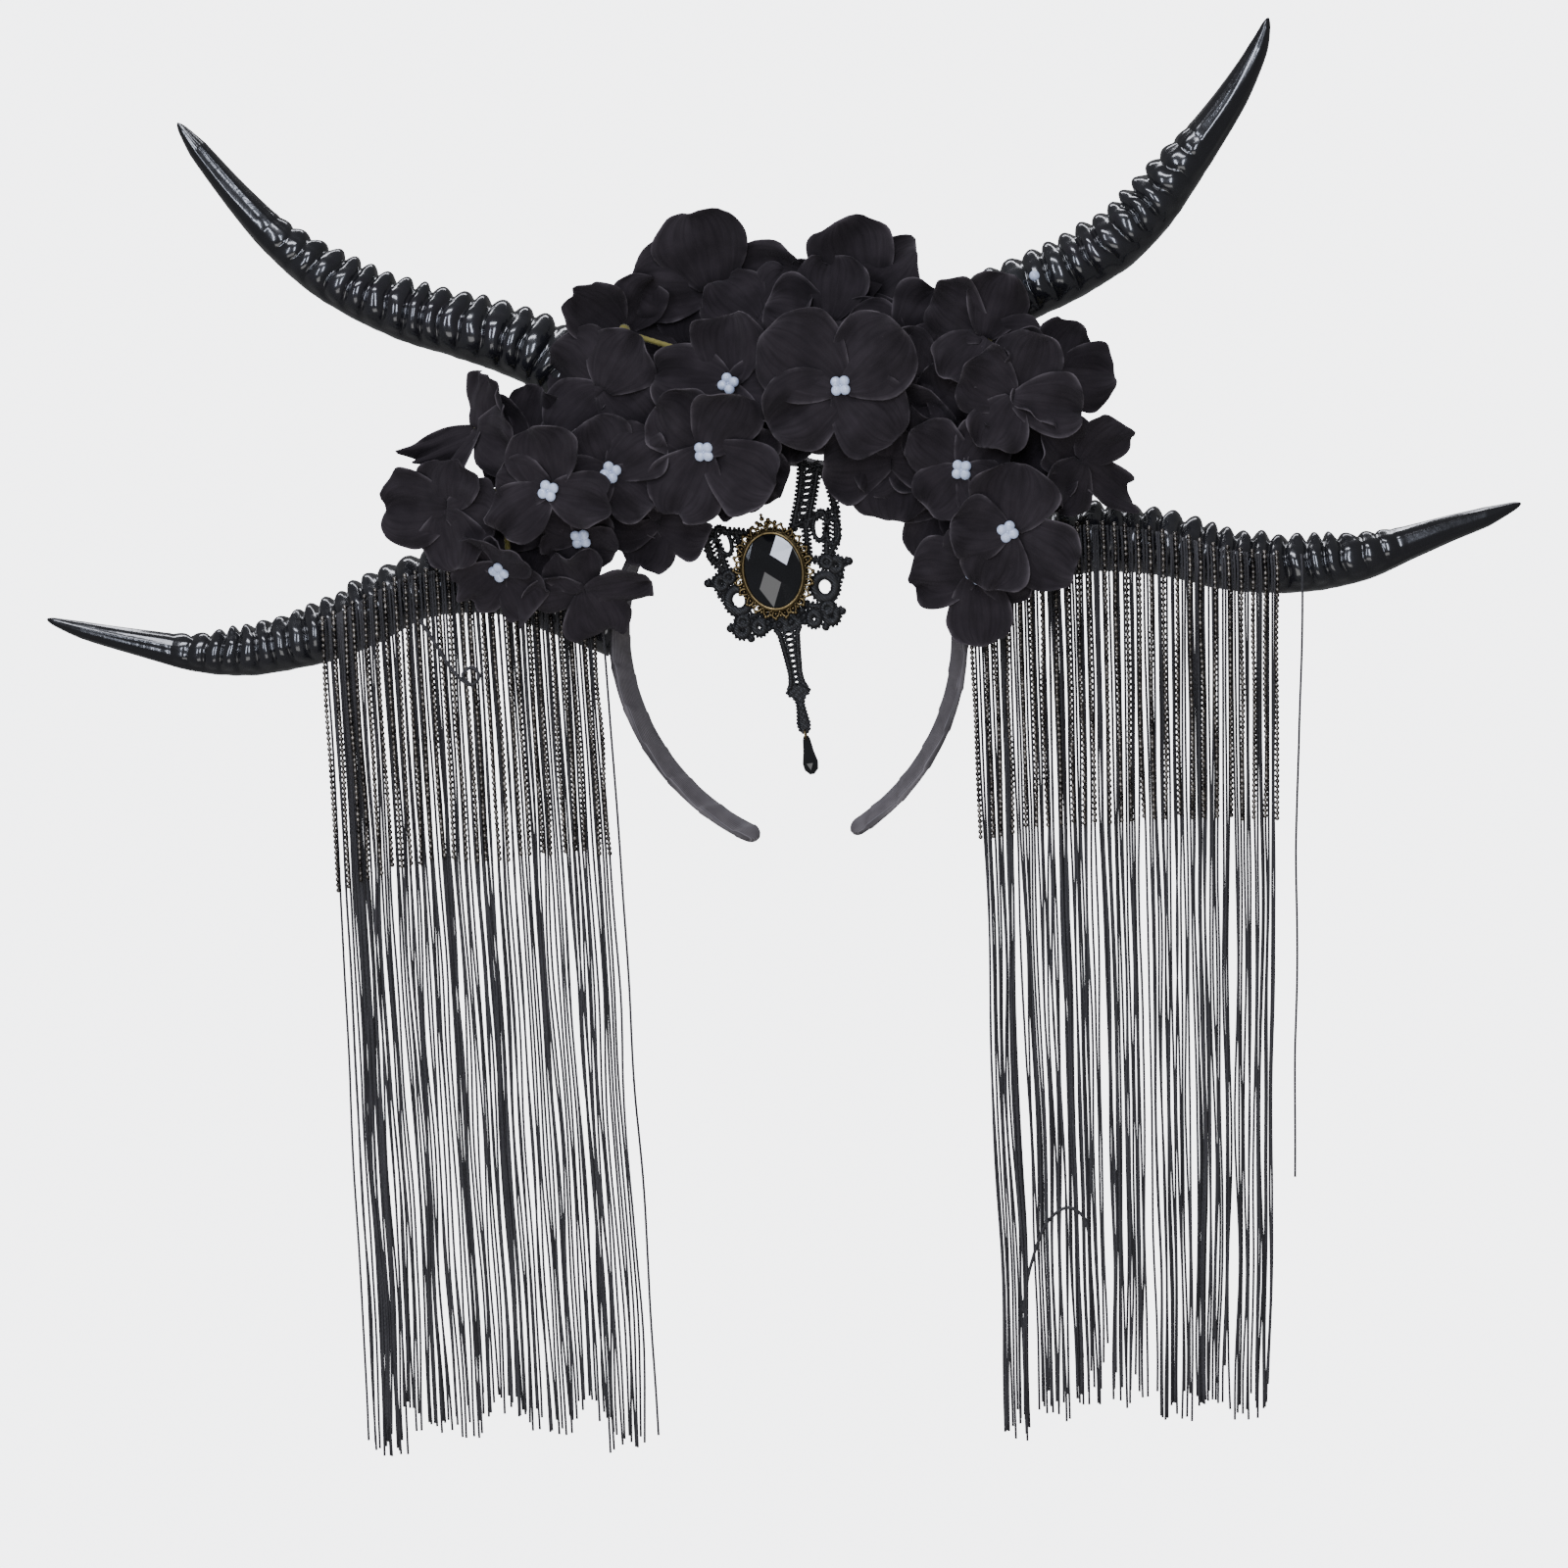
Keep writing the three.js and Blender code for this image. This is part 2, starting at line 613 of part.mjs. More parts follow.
// A sheet over a horn, whose lower edge follows a short table of shares of its drop
function curtainSheet(curtain, offset, wall, ends, grow = 0) {
  const margin = grow / (curtain.spread * curtainReach);
  const columns = [offset - grow, offset + wall + grow].map((away) => {
    const grid = [];
    for (let i = 0; i <= curtainColumns; i += 1) {
      const across = i / curtainColumns;
      const place = across * (ends.length - 1);
      const before = Math.min(Math.floor(place), ends.length - 2);
      const share = lerp(ends[before], ends[before + 1], place - before);
      const bottom = curtainTop - chainDrop * share - grow;
      grid.push(drapeColumn(curtain, lerp(-margin, 1 + margin, across), away, bottom));
    }
    return grid;
  });
  return slab(columns[1], columns[0]);
}

const threadOffset = gap;
const chainOffset = threadOffset + threadWall + gap;

// Each curtain: how far it spreads as a share of the curtain's reach, how far its hanging part
// drifts sideways at its inner and outer edge as a share of its drop, and the lower edge of its
// chains from the band outwards as shares of their drop. Then its locks of thread, each with its
// place across, its width as a share of the spread, and its drop as a share of the threads' drop.
const curtains = [
  {
    side: 'left',
    horn: lowerLeft,
    spread: 0.95,
    drift: [-0.02, -0.03],
    ends: [0.95, 0.93, 0.95, 0.93, 0.96, 1.05],
    locks: [
      [0.06, 0.09, 0.985], [0.2, 0.12, 0.945], [0.35, 0.12, 0.96], [0.51, 0.15, 0.935],
      [0.67, 0.1, 0.955], [0.8, 0.11, 0.95], [0.93, 0.1, 0.975],
    ],
  },
  {
    side: 'right',
    horn: lowerRight,
    spread: 1.05,
    drift: [-0.04, -0.075],
    ends: [1, 0.95, 0.96, 0.95, 0.98, 1],
    locks: [
      [0.05, 0.09, 1], [0.19, 0.14, 0.975], [0.34, 0.11, 0.96], [0.48, 0.11, 0.965],
      [0.63, 0.12, 0.985], [0.78, 0.12, 0.975], [0.92, 0.1, 0.99],
    ],
  },
];

// How full a lock is at shares of its length
const lockStations = [[0, 1], [0.3, 0.94], [0.65, 0.88], [0.93, 0.7], [1, 0.3]];
const lockSway = lockThickness / 2;

// The sheet that heads the threads, hidden under the chains, ends above their lower edge
const threadHead = 0.76;

// One lock from inside the sheet down to its ragged end, swaying a little on its way
function lockBody(curtain, order, [place, width, drop]) {
  const insideSheet = threadOffset + 0.6 * threadWall;
  const column = drapeColumn(curtain, place, insideSheet, curtainTop - threadHead * chainDrop);
  const top = column.at(-1).lerp(column.at(-2), 0.4);
  const length = drop * threadDrop + top.z - curtainTop;
  const drift = lerp(...curtain.drift, place);
  const rings = lockStations.map(([share, fullness]) => {
    const x = top.x + drift * length * share + lockSway * share * Math.sin(order + 5 * share);
    const half = width * curtain.spread * curtainReach / 2 * fullness;
    const back = top.y + lockThickness * fullness;
    const section = [[-half, top.y], [half, top.y], [half, back], [-half, back]];
    return section.map(([dx, y]) => point(x + dx, y, top.z - length * share));
  });
  return toSolid(loft(rings));
}

const curtainClearances = [];
for (const curtain of curtains) {
  const { side, ends, locks } = curtain;
  addPiece(`chain_curtain_${side}`, curtainSheet(curtain, chainOffset, chainWall, ends), gunmetal());
  const head = toSolid(curtainSheet(curtain, threadOffset, threadWall, [threadHead, threadHead]));
  const threads = locks.map((row, order) => lockBody(curtain, order, row));
  addPiece(`thread_fringe_${side}`, toGeometry(head.add(wasm.Manifold.union(threads))), blackThread());
  const bothWalls = chainOffset + chainWall - threadOffset;
  curtainClearances.push(toSolid(curtainSheet(curtain, threadOffset, bothWalls, ends, gap)));
}

// Stems and blossoms, fitted round the horns and the curtains

const stemClearances = [];
const placed = [];
for (const spray of sprays) {
  const blossoms = spray.rows.map((row, i) => {
    const [across, up, ahead, size, yaw, pitch, spin, cup, fold, joint, centre] = row;
    const pose = blossomPose(awayFromSeat(spray, across, up, ahead), yaw, pitch, spin);
    const radius = size * blossomRadius;
    return { name: `${spray.name}_${i + 1}`, pose, radius, cup, fold, joint, centre };
  });
  placed.push(...blossoms);
  const line = sprayLine(spray);
  const stem = stemBody(line, blossoms, stemRadius).subtract(keptClear).subtract(hornClearance);
  addPiece(`stem_spray_${spray.name}`, toGeometry(stem), stemWrap());
  stemClearances.push(stemBody(line, blossoms, stemRadius + gap));
}

// Every blossom gives way to what lies behind it and to the blossoms placed before it
const petalClearances = [];
for (const { name, pose, radius, cup, fold, centre } of placed) {
  const whole = toSolid(blossomBody(radius, cup, fold, petalWall).applyMatrix4(pose));
  const clearance = blossomBody(radius + gap, cup, fold, petalWall + 2 * gap).applyMatrix4(pose);
  const met = [hornClearance, ...curtainClearances, ...stemClearances, ...petalClearances];
  const blossom = met.reduce((left, other) => left.subtract(other), whole);
  petalClearances.push(toSolid(clearance));
  addPiece(`blossom_${name}`, toGeometry(blossom), silk());
  if (centre) {
    const base = petalBase * radius;
    const lift = petalRise(radius, cup + Math.abs(fold), base) * centreRadius / base;
    const dome = centreBody();
    dome.translate(0, 0, petalWall / 2 + gap + lift);
    addPiece(`blossom_centre_${name}`, dome.applyMatrix4(pose), pearlPaint());
  }
}

// Pearl glued to the front of the upper right horn, flat where it meets the horn
const pearlPlace = hornAt(upperRight.line, upperRight.girth, shareAcross(upperRight, pearlAcross));
const pearlAhead = pearlPlace.thickness / 2 + 0.8 * pearlRadius;
const pearl = new THREE.SphereGeometry(pearlRadius, 12, 8);
pearl.translate(...pearlPlace.middle);
pearl.translate(...pearlPlace.back.clone().multiplyScalar(-pearlAhead * Math.cos(rad(pearlTurn))));
pearl.translate(...pearlPlace.up.clone().multiplyScalar(pearlAhead * Math.sin(rad(pearlTurn))));
addPiece('horn_pearl', toGeometry(toSolid(pearl).subtract(hornClearance)), pearlPaint());

// Pendant
//
// It is drawn about the stone's middle, across and up, and then leans with its lower end to +X.

const laceBack = -(bandWidth / 2 + headRoom);
const pendantPose = new THREE.Matrix4().makeTranslation(stoneAcross, laceBack, stoneDown)
  .multiply(new THREE.Matrix4().makeRotationY(rad(-pendantLean)));
const toPendant = pendantPose.clone().invert();

// A flat outline in the pendant's plane, raised to the front between two depths
function plate(outline, from, depth) {
  const shape = new THREE.Shape(outline.map(([across, up]) => new THREE.Vector2(across, up)));
  const body = new THREE.ExtrudeGeometry(shape, { depth, bevelEnabled: false });
  body.rotateX(Math.PI / 2);
  body.translate(0, -from, 0);
  return toSolid(body);
}

function oval(halfWidth, halfHeight, corners, [across, up] = [0, 0]) {
  return Array.from({ length: corners }, (_, i) => {
    const angle = (i + 0.5) / corners * 2 * Math.PI;
    return [across + halfWidth * Math.sin(angle), up + halfHeight * Math.cos(angle)];
  });
}

const laceAxis = 0.027 * laceWidth;

// Knots of the lace on its right side: across from its middle line, up from the stone's middle,
// and radius, all as shares of the lace's width. The left side mirrors them.
const knots = {
  middle: [0, 0, 0.03],
  side: [0.34, 0, 0.066],
  sideTip: [0.49, -0.02, 0.036],
  sideTop: [0.43, 0.13, 0.034],
  sideFoot: [0.42, -0.1, 0.03],
  sideRoot: [0.22, 0.04, 0.03],
  shoulder: [0.46, 0.34, 0.03],
  collar: [0.33, 0.32, 0.03],
  collarRoot: [0.15, 0.27, 0.03],
  lower: [0.295, -0.315, 0.066],
  lowerTip: [0.39, -0.35, 0.034],
  lowerFoot: [0.26, -0.44, 0.034],
  lowerRoot: [0.15, -0.27, 0.03],
};
const bars = [
  ['side', 'sideTip'], ['side', 'sideTop'], ['side', 'sideFoot'], ['side', 'sideRoot'],
  ['sideTop', 'shoulder'], ['side', 'collar'], ['collar', 'shoulder'], ['collar', 'collarRoot'],
  ['sideFoot', 'lower'], ['lower', 'lowerTip'], ['lower', 'lowerFoot'], ['lower', 'lowerRoot'],
  ['sideRoot', 'middle'], ['collarRoot', 'middle'], ['lowerRoot', 'middle'],
];

// Where the lace is sewn to the front of the band, beside the roots of the upper horns
const rootSpread = THREE.MathUtils.radToDeg((upperGirth / 2 + ridgeHeight) / bandRadius);
const anchorLeft = bandAnchor(-upperRootAngle - rootSpread);
const anchorRight = bandAnchor(upperRootAngle - rootSpread);

// Strands that carry the lace, as points across and up like those of the knots
const strandLeft = [[-0.46, 0.34], [-0.53, 0.42], [-0.63, 0.46], anchorLeft];
const strandRight = [[0.46, 0.34], [0.43, 0.58], anchorRight];
const ladderRails = [
  [[0.15, 0.27], [0.23, 0.48], [0.29, 0.72]],
  [[0.25, 0.26], [0.33, 0.48], anchorRight],
];
const ladderRungs = 5;
const [ladderFoot, ladderHead] = [0.27, 0.69];

// The half width of the tail down its length, as shares of the tail's length and lace's width
const tailLine = [
  [0, 0.11], [0.16, 0.1], [0.36, 0.066], [0.53, 0.048], [0.63, 0.053], [0.67, 0.084],
  [0.72, 0.036], [0.76, 0.026], [0.84, 0.034], [0.925, 0.045], [0.97, 0.036], [1, 0.022],
];
const tailTop = -stoneHeight / 2;
const eyeUp = tailTop - tailLength + 2 * eyeRadius;
const onLace = ([across, up]) => [laceAxis + across * laceWidth, up * laceWidth];

// The place of a point on the band, across and up as the lace's knots are
function bandAnchor(angle) {
  const { x, z } = bandAt(bandRadius * rad(angle)).middle.applyMatrix4(toPendant);
  return [(x - laceAxis) / laceWidth, z / laceWidth];
}

function laceBar([x0, y0], [x1, y1]) {
  const length = Math.hypot(x1 - x0, y1 - y0);
  const [nx, ny] = [(y0 - y1) / length * laceCord / 2, (x1 - x0) / length * laceCord / 2];
  const outline = [[x0 + nx, y0 + ny], [x0 - nx, y0 - ny], [x1 - nx, y1 - ny], [x1 + nx, y1 + ny]];
  return plate(outline, 0, laceWall);
}

const laceStrand = (points) => (
  points.slice(1).map((place, i) => laceBar(onLace(points[i]), onLace(place)))
);

// The place on a strand that has climbed to a height
function pointAtHeight(strand, up) {
  const next = Math.max(1, strand.findIndex((place) => place[1] >= up));
  const [[x0, y0], [x1, y1]] = [strand[next - 1], strand[next]];
  return [lerp(x0, x1, (up - y0) / (y1 - y0)), up];
}

function laceBody() {
  const backing = 0.85 * bezelWidth;
  const parts = [plate(oval(stoneWidth / 2 + backing, stoneHeight / 2 + backing, 20), 0, laceWall)];
  for (const side of [-1, 1]) {
    const placeOf = (name) => onLace([side * knots[name][0], knots[name][1]]);
    for (const [name, [, , radius]] of Object.entries(knots)) {
      const size = radius * laceWidth;
      parts.push(plate(oval(size, size, 8, placeOf(name)), 0, laceWall));
    }
    parts.push(...bars.map(([from, to]) => laceBar(placeOf(from), placeOf(to))));
  }
  for (const strand of [strandLeft, strandRight, ...ladderRails]) {
    parts.push(...laceStrand(strand));
  }
  for (let i = 1; i <= ladderRungs; i += 1) {
    const height = lerp(ladderFoot, ladderHead, i / ladderRungs);
    const [from, to] = ladderRails.map((rail) => pointAtHeight(rail, height));
    parts.push(laceBar(onLace(from), onLace(to)));
  }
  const tail = [...tailLine, ...tailLine.toReversed().map(([down, half]) => [down, -half])];
  parts.push(plate(tail.map(([down, half]) => (
    [laceAxis + half * laceWidth, tailTop - down * tailLength]
  )), 0, laceWall));
  const anchorDepth = headRoom - gap;
  const anchorRadius = 1.3 * laceCord;
  for (const anchor of [anchorLeft, anchorRight]) {
    const outline = oval(anchorRadius, anchorRadius, 8, onLace(anchor));
    parts.push(plate(outline, -anchorDepth, anchorDepth + laceWall));
  }
  const eye = plate(oval(eyeRadius, eyeRadius, 8, [laceAxis, eyeUp]), -gap, laceWall + 2 * gap);
  return wasm.Manifold.union(parts).subtract(eye);
}

addPiece('pendant_lace', toGeometry(laceBody()).applyMatrix4(pendantPose), cottonLace());

const onLaceFront = laceWall + gap;

// Sections around the stone's outline: each row is a distance out from it, a height above the
// lace, and whether every other corner stands out as a scallop
function ovalSections(corners, rows) {
  return Array.from({ length: corners }, (_, i) => {
    const angle = i / corners * 2 * Math.PI;
    return rows.map(([out, height, scalloped]) => {
      const reach = out + (scalloped && i % 2 ? scallopDepth : 0);
      return point(
        (stoneWidth / 2 + reach) * Math.sin(angle),
        -onLaceFront - height,
        (stoneHeight / 2 + reach) * Math.cos(angle),
      );
    });
  });
}

const settingCorners = 36;
const settingRows = [
  [gap, 0, false], [0.76 * bezelWidth, 0, true], [bezelWidth, 0.4 * bezelDepth, true],
  [0.4 * bezelWidth, bezelDepth, false], [gap, 0.9 * bezelDepth, false],
];
const setting = loft(ovalSections(settingCorners, settingRows), true);
addPiece('pendant_setting', setting.applyMatrix4(pendantPose), antiqueBrass());

const stoneCorners = 12;
const stoneRows = [
  [-0.06 * stoneWidth, 0, false], [0, 0.3 * stoneDepth, false],
  [-0.14 * stoneWidth, 0.8 * stoneDepth, false], [-0.24 * stoneWidth, stoneDepth, false],
];
const stoneSections = ovalSections(stoneCorners, stoneRows);
const stone = loft(stoneRows.map((_, row) => stoneSections.map((section) => section[row])));
addPiece('pendant_stone', stone.applyMatrix4(pendantPose), blackGlass());

const ring = new THREE.TorusGeometry(ringRadius, ringWire, 6, 12);
ring.rotateY(Math.PI / 2);
ring.translate(laceAxis, -laceWall / 2, eyeUp - ringRadius);
addPiece('jump_ring', ring.applyMatrix4(pendantPose), antiqueBrass());

// Faceted drop: down its length, then its width and its depth, as shares of its length and width
const dropLine = [
  [0, 0.5, 0.25], [0.2, 0.5, 0.35], [0.4, 0.66, 0.6], [0.7, 1, 0.8], [0.88, 0.84, 0.66], [1, 0.3, 0.2],
];

function dropBody() {
  const top = eyeUp - 2 * ringRadius + 2 * eyeRadius;
  const rings = dropLine.map(([down, wide, deep]) => (
    oval(wide * dropWidth / 2, deep * dropWidth / 2, 8)
      .map(([across, depth]) => point(laceAxis + across, depth - laceWall / 2, top - down * dropLength))
  ));
  const eyeOutline = oval(eyeRadius, eyeRadius, 8, [laceAxis, eyeUp - 2 * ringRadius]);
  return toSolid(loft(rings)).subtract(plate(eyeOutline, -dropWidth, 2 * dropWidth));
}
addPiece('drop_bead', toGeometry(dropBody()).applyMatrix4(pendantPose), blackGlass());

export default headpiece;
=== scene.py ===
# %% [markdown]
# This lesson dresses an antelope horn headband: a ribbon-wrapped band with four ridged horns,
# dark cloth blossoms, curtains of bead chain and thread, and a lace pendant with a stone. The CAD
# model is loaded first as a fixed frame. Every piece made here takes its place from it, rides on
# its one body, and stands for the plain solid that it covers.

# %% Load the frame
import math
import random

import bmesh
import bpy
from mathutils import Matrix, Vector, noise


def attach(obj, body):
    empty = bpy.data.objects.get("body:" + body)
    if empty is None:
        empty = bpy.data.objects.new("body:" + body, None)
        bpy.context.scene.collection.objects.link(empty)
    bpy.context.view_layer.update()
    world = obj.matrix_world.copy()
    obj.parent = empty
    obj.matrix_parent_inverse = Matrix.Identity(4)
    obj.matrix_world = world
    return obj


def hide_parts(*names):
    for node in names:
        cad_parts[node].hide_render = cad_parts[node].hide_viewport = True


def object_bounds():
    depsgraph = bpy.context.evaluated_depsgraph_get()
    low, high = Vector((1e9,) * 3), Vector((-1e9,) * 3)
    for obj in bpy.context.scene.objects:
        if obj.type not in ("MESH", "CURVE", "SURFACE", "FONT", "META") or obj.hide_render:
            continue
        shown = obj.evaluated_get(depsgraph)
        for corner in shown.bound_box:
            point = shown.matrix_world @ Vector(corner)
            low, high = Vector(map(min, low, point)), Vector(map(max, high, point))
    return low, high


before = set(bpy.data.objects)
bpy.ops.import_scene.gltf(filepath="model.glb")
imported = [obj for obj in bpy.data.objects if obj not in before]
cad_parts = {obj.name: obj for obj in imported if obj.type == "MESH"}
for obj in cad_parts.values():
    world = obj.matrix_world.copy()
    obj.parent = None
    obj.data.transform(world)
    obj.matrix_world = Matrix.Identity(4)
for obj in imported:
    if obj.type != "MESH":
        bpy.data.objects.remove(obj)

MM = 0.001
cad_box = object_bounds()
print("CAD model, mm:", [[round(value / MM) for value in corner] for corner in cad_box])

# %% [markdown]
# The photograph looks at the front from a little to the right and above, through a long lens, and
# the headband hangs a few degrees tilted in it. A camera turned by those three angles sees the
# same picture. Tilting the camera, not the object, keeps the object upright on its own axes. A
# second function goes the other way, from a pixel of the photograph to a place on the object.

# %% The camera
PHOTO_WIDTH = 1600
PHOTO_SCALE = 0.375 * MM  # size of one pixel at the origin
ORIGIN_PIXEL = (791, 476)
AZIMUTH, ELEVATION, ROLL = (math.radians(angle) for angle in (7, 7, 4.7))
DISTANCE = 3.0


def make_camera():
    """Aims a long lens so that the origin falls on its pixel of the photograph."""
    view = Matrix.Rotation(AZIMUTH, 3, "Z") @ Matrix.Rotation(math.pi / 2 - ELEVATION, 3, "X")
    view = view @ Matrix.Rotation(-ROLL, 3, "Z")
    right, up, back = view.col
    from_middle = [(ORIGIN_PIXEL[axis] - PHOTO_WIDTH / 2) * PHOTO_SCALE for axis in (0, 1)]
    target = -right * from_middle[0] + up * from_middle[1]
    data = bpy.data.cameras.new("camera")
    data.sensor_width = 36
    data.lens = data.sensor_width * DISTANCE / (PHOTO_WIDTH * PHOTO_SCALE)
    camera = bpy.data.objects.new("camera", data)
    camera.matrix_world = Matrix.Translation(target + back * DISTANCE) @ view.to_4x4()
    bpy.context.collection.objects.link(camera)
    bpy.context.scene.camera = camera
    return camera


def seen_at(x, y, ahead):
    """The place so far in front of the band that the photograph shows at a pixel."""
    right, up, back = camera.matrix_world.to_3x3().col
    aside = right * (x - PHOTO_WIDTH / 2) + up * (PHOTO_WIDTH / 2 - y)
    towards = aside * PHOTO_SCALE - back * DISTANCE
    start = camera.matrix_world.translation
    return start + towards * ((-ahead - start.y) / towards.y)


camera = make_camera()
print("lens, mm:", round(camera.data.lens))

# %% [markdown]
# A finished mesh becomes a piece in the same few steps each time: an object, a material, smooth
# faces, the body that it rides on, and the CAD nodes that it stands for. One helper does them, so
# that no piece misses a step.


# %% Pieces
def add_piece(name, bm, material, nodes=(), smooth=True):
    """Makes an object from a bmesh, which rides on the body and stands for CAD nodes."""
    mesh = bpy.data.meshes.new(name)
    for face in bm.faces:
        face.smooth = smooth
    bm.to_mesh(mesh)
    bm.free()
    piece = bpy.data.objects.new(name, mesh)
    bpy.context.collection.objects.link(piece)
    mesh.materials.append(material)
    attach(piece, "root")
    if nodes:
        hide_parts(*nodes)
    print(name, len(mesh.polygons), "faces")
    return piece


# %% [markdown]
# Most forms here are a sheet of faces that is bent into place: a petal is one as it is, and a horn
# or a thread is one rolled up until its two long edges meet. So the second helper starts from
# Blender's own grid and asks a function where each of its corners goes. The third rolls the grid
# up, merges the edges that meet and fills the two round ends.


# %% Grids and tubes
def shaped_grid(bm, columns, rows, place):
    """Adds a grid whose corners are moved to place(u, v), with u and v from 0 to 1."""
    made = bmesh.ops.create_grid(bm, x_segments=columns, y_segments=rows, size=0.5)
    for vert in made["verts"]:
        vert.co = place(vert.co.x + 0.5, vert.co.y + 0.5, vert)
    return made["verts"]


def close_tubes(bm, sides):
    """Merges the long edges of rolled grids, fills their ends and turns all faces outwards."""
    bmesh.ops.remove_doubles(bm, verts=bm.verts, dist=1e-6)
    bmesh.ops.holes_fill(bm, edges=[edge for edge in bm.edges if edge.is_boundary], sides=sides)
    bmesh.ops.recalc_face_normals(bm, faces=bm.faces)


# %% [markdown]
# Materials need three small helpers. Colours are read off as sRGB hex values, and a shader works
# in linear light, so one function converts them. Another adds a node with its settings and links
# in one call. The last one starts a material with its shader and the two outputs used most:
# object coordinates and a slot for the bump.


# %% Material helpers
def linear(hex_colour):
    """Turns an sRGB hex colour into the linear colour that a shader needs."""
    channels = [int(hex_colour[start:start + 2], 16) / 255 for start in (1, 3, 5)]
    light = [c / 12.92 if c <= 0.04045 else ((c + 0.055) / 1.055) ** 2.4 for c in channels]
    return (*light, 1.0)


def add_node(tree, kind, inputs=None, **settings):
    """Adds a node, sets its properties, and gives each input a value or a link."""
    node = tree.nodes.new(kind)
    for key, value in settings.items():
        setattr(node, key, value)
    for key, value in (inputs or {}).items():
        if isinstance(value, bpy.types.NodeSocket):
            tree.links.new(value, node.inputs[key])
        else:
            node.inputs[key].default_value = value
    return node


def start_material(name, **surface):
    """A material whose shader has these sockets set, with the object's own coordinates."""
    material = bpy.data.materials.new(name)
    material.use_nodes = True
    tree = material.node_tree
    shader = tree.nodes["Principled BSDF"]
    for socket, value in surface.items():
        shader.inputs[socket.replace("_", " ")].default_value = value
    here = add_node(tree, "ShaderNodeTexCoord").outputs["Object"]
    return material, tree, shader, here


def per_mm(size):
    """The scale at which a noise or Voronoi pattern has cells of a size in millimetres."""
    return 1 / (size * MM)


def waves_mm(size):
    """The scale at which a wave texture repeats every so many millimetres."""
    return math.pi / 10 / (size * MM)


# %% [markdown]
# Nearly all these materials are made of the same parts. A noise drives a change between two tones,
# a change of polish and a fine bump, because no real surface is even. One function adds each.


# %% Noise, tones, polish and bumps
def noise_of(tree, here, size, detail, **more):
    """The value of a noise with cells of a size in millimetres."""
    inputs = {"Vector": here, "Scale": per_mm(size), "Detail": detail, **more}
    return add_node(tree, "ShaderNodeTexNoise", inputs).outputs["Fac"]


def paint(tree, shader, share, dark, light):
    """Gives the shader a colour between two hex colours."""
    mixed = add_node(tree, "ShaderNodeMix", {
        0: share, 6: linear(dark), 7: linear(light)}, data_type="RGBA").outputs[2]
    tree.links.new(mixed, shader.inputs["Base Color"])


def polish(tree, shader, value, seen, given):
    """Gives the shader a roughness from one range, for a value that runs through another."""
    rough = add_node(tree, "ShaderNodeMapRange", {
        "Value": value, "From Min": seen[0], "From Max": seen[1],
        "To Min": given[0], "To Max": given[1]}).outputs[0]
    tree.links.new(rough, shader.inputs["Roughness"])


def add_bump(tree, shader, height, strength, depth):
    """Gives the shader a bump with a depth in millimetres."""
    bump = add_node(tree, "ShaderNodeBump", {
        "Height": height, "Strength": strength, "Distance": depth * MM}).outputs[0]
    tree.links.new(bump, shader.inputs["Normal"])
    return bump


# %% [markdown]
# The horns are moulded and lacquered in glossy black. Lacquer is a dark, smooth base under a hard
# clear coat, and it shows mostly as what it reflects: bright streaks on each ridge. Real lacquer
# isn't even, so a fine noise of a few millimetres changes its roughness, and a shallow bump with
# grain along the horn breaks the streaks up as hand-carved horn does.


# %% Black lacquer on moulded horn
def lacquer_material():
    material, tree, shader, here = start_material(
        "black lacquer on moulded horn", IOR=1.5, Coat_Weight=1.0, Coat_Roughness=0.05)
    # The colour is lighter on the ridge crests and darker in the valleys between them, patchy by a
    # noise.
    crest = add_node(tree, "ShaderNodeAttribute", attribute_name="crest").outputs["Fac"]
    cloud = noise_of(tree, here, 6, 6.0, Roughness=0.6)
    patchy_share = add_node(tree, "ShaderNodeMath", {0: crest, 1: cloud}, operation="MULTIPLY").outputs[0]
    paint(tree, shader, patchy_share, "#0f0f12", "#1e1e22")
    polish(tree, shader, cloud, (0.3, 0.7), (0.14, 0.28))
    grain = noise_of(tree, here, 2.2, 3.0, Distortion=0.6)
    height = add_node(tree, "ShaderNodeMath", {0: grain, 1: cloud}, operation="ADD").outputs[0]
    bump = add_bump(tree, shader, height, 0.2, 0.2)
    tree.links.new(bump, shader.inputs["Coat Normal"])
    return material


lacquer = lacquer_material()

# %% [markdown]
# The band is a half circle over the head and two arms that close inwards, wound with satin
# ribbon. Its middle line is one arc after another, so a short function gives the place at any
# distance along it. The horns, the stems and the pendant all start from that line too.

# %% The band's middle line
HEAD_RADIUS, ARM_RADIUS, ARM_SWEEP = 64 * MM, 86.3 * MM, math.radians(63)
BAND_THICKNESS, BAND_WIDTH, TIP_WIDTH = 3.4 * MM, 14 * MM, 8.5 * MM
ARM_TWIST = math.radians(31)
BAND_RADIUS = HEAD_RADIUS + BAND_THICKNESS / 2
ARM_CURVE = ARM_RADIUS + BAND_THICKNESS / 2
TOP_LENGTH = BAND_RADIUS * math.pi / 2
BAND_REACH = TOP_LENGTH + ARM_CURVE * ARM_SWEEP


def mix(a, b, share):
    """The value at a share of the way from a to b."""
    return a + (b - a) * share


def eased(value, low, high):
    """Rises smoothly from 0 at low to 1 at high."""
    share = min(max((value - low) / (high - low), 0), 1)
    return share * share * (3 - 2 * share)


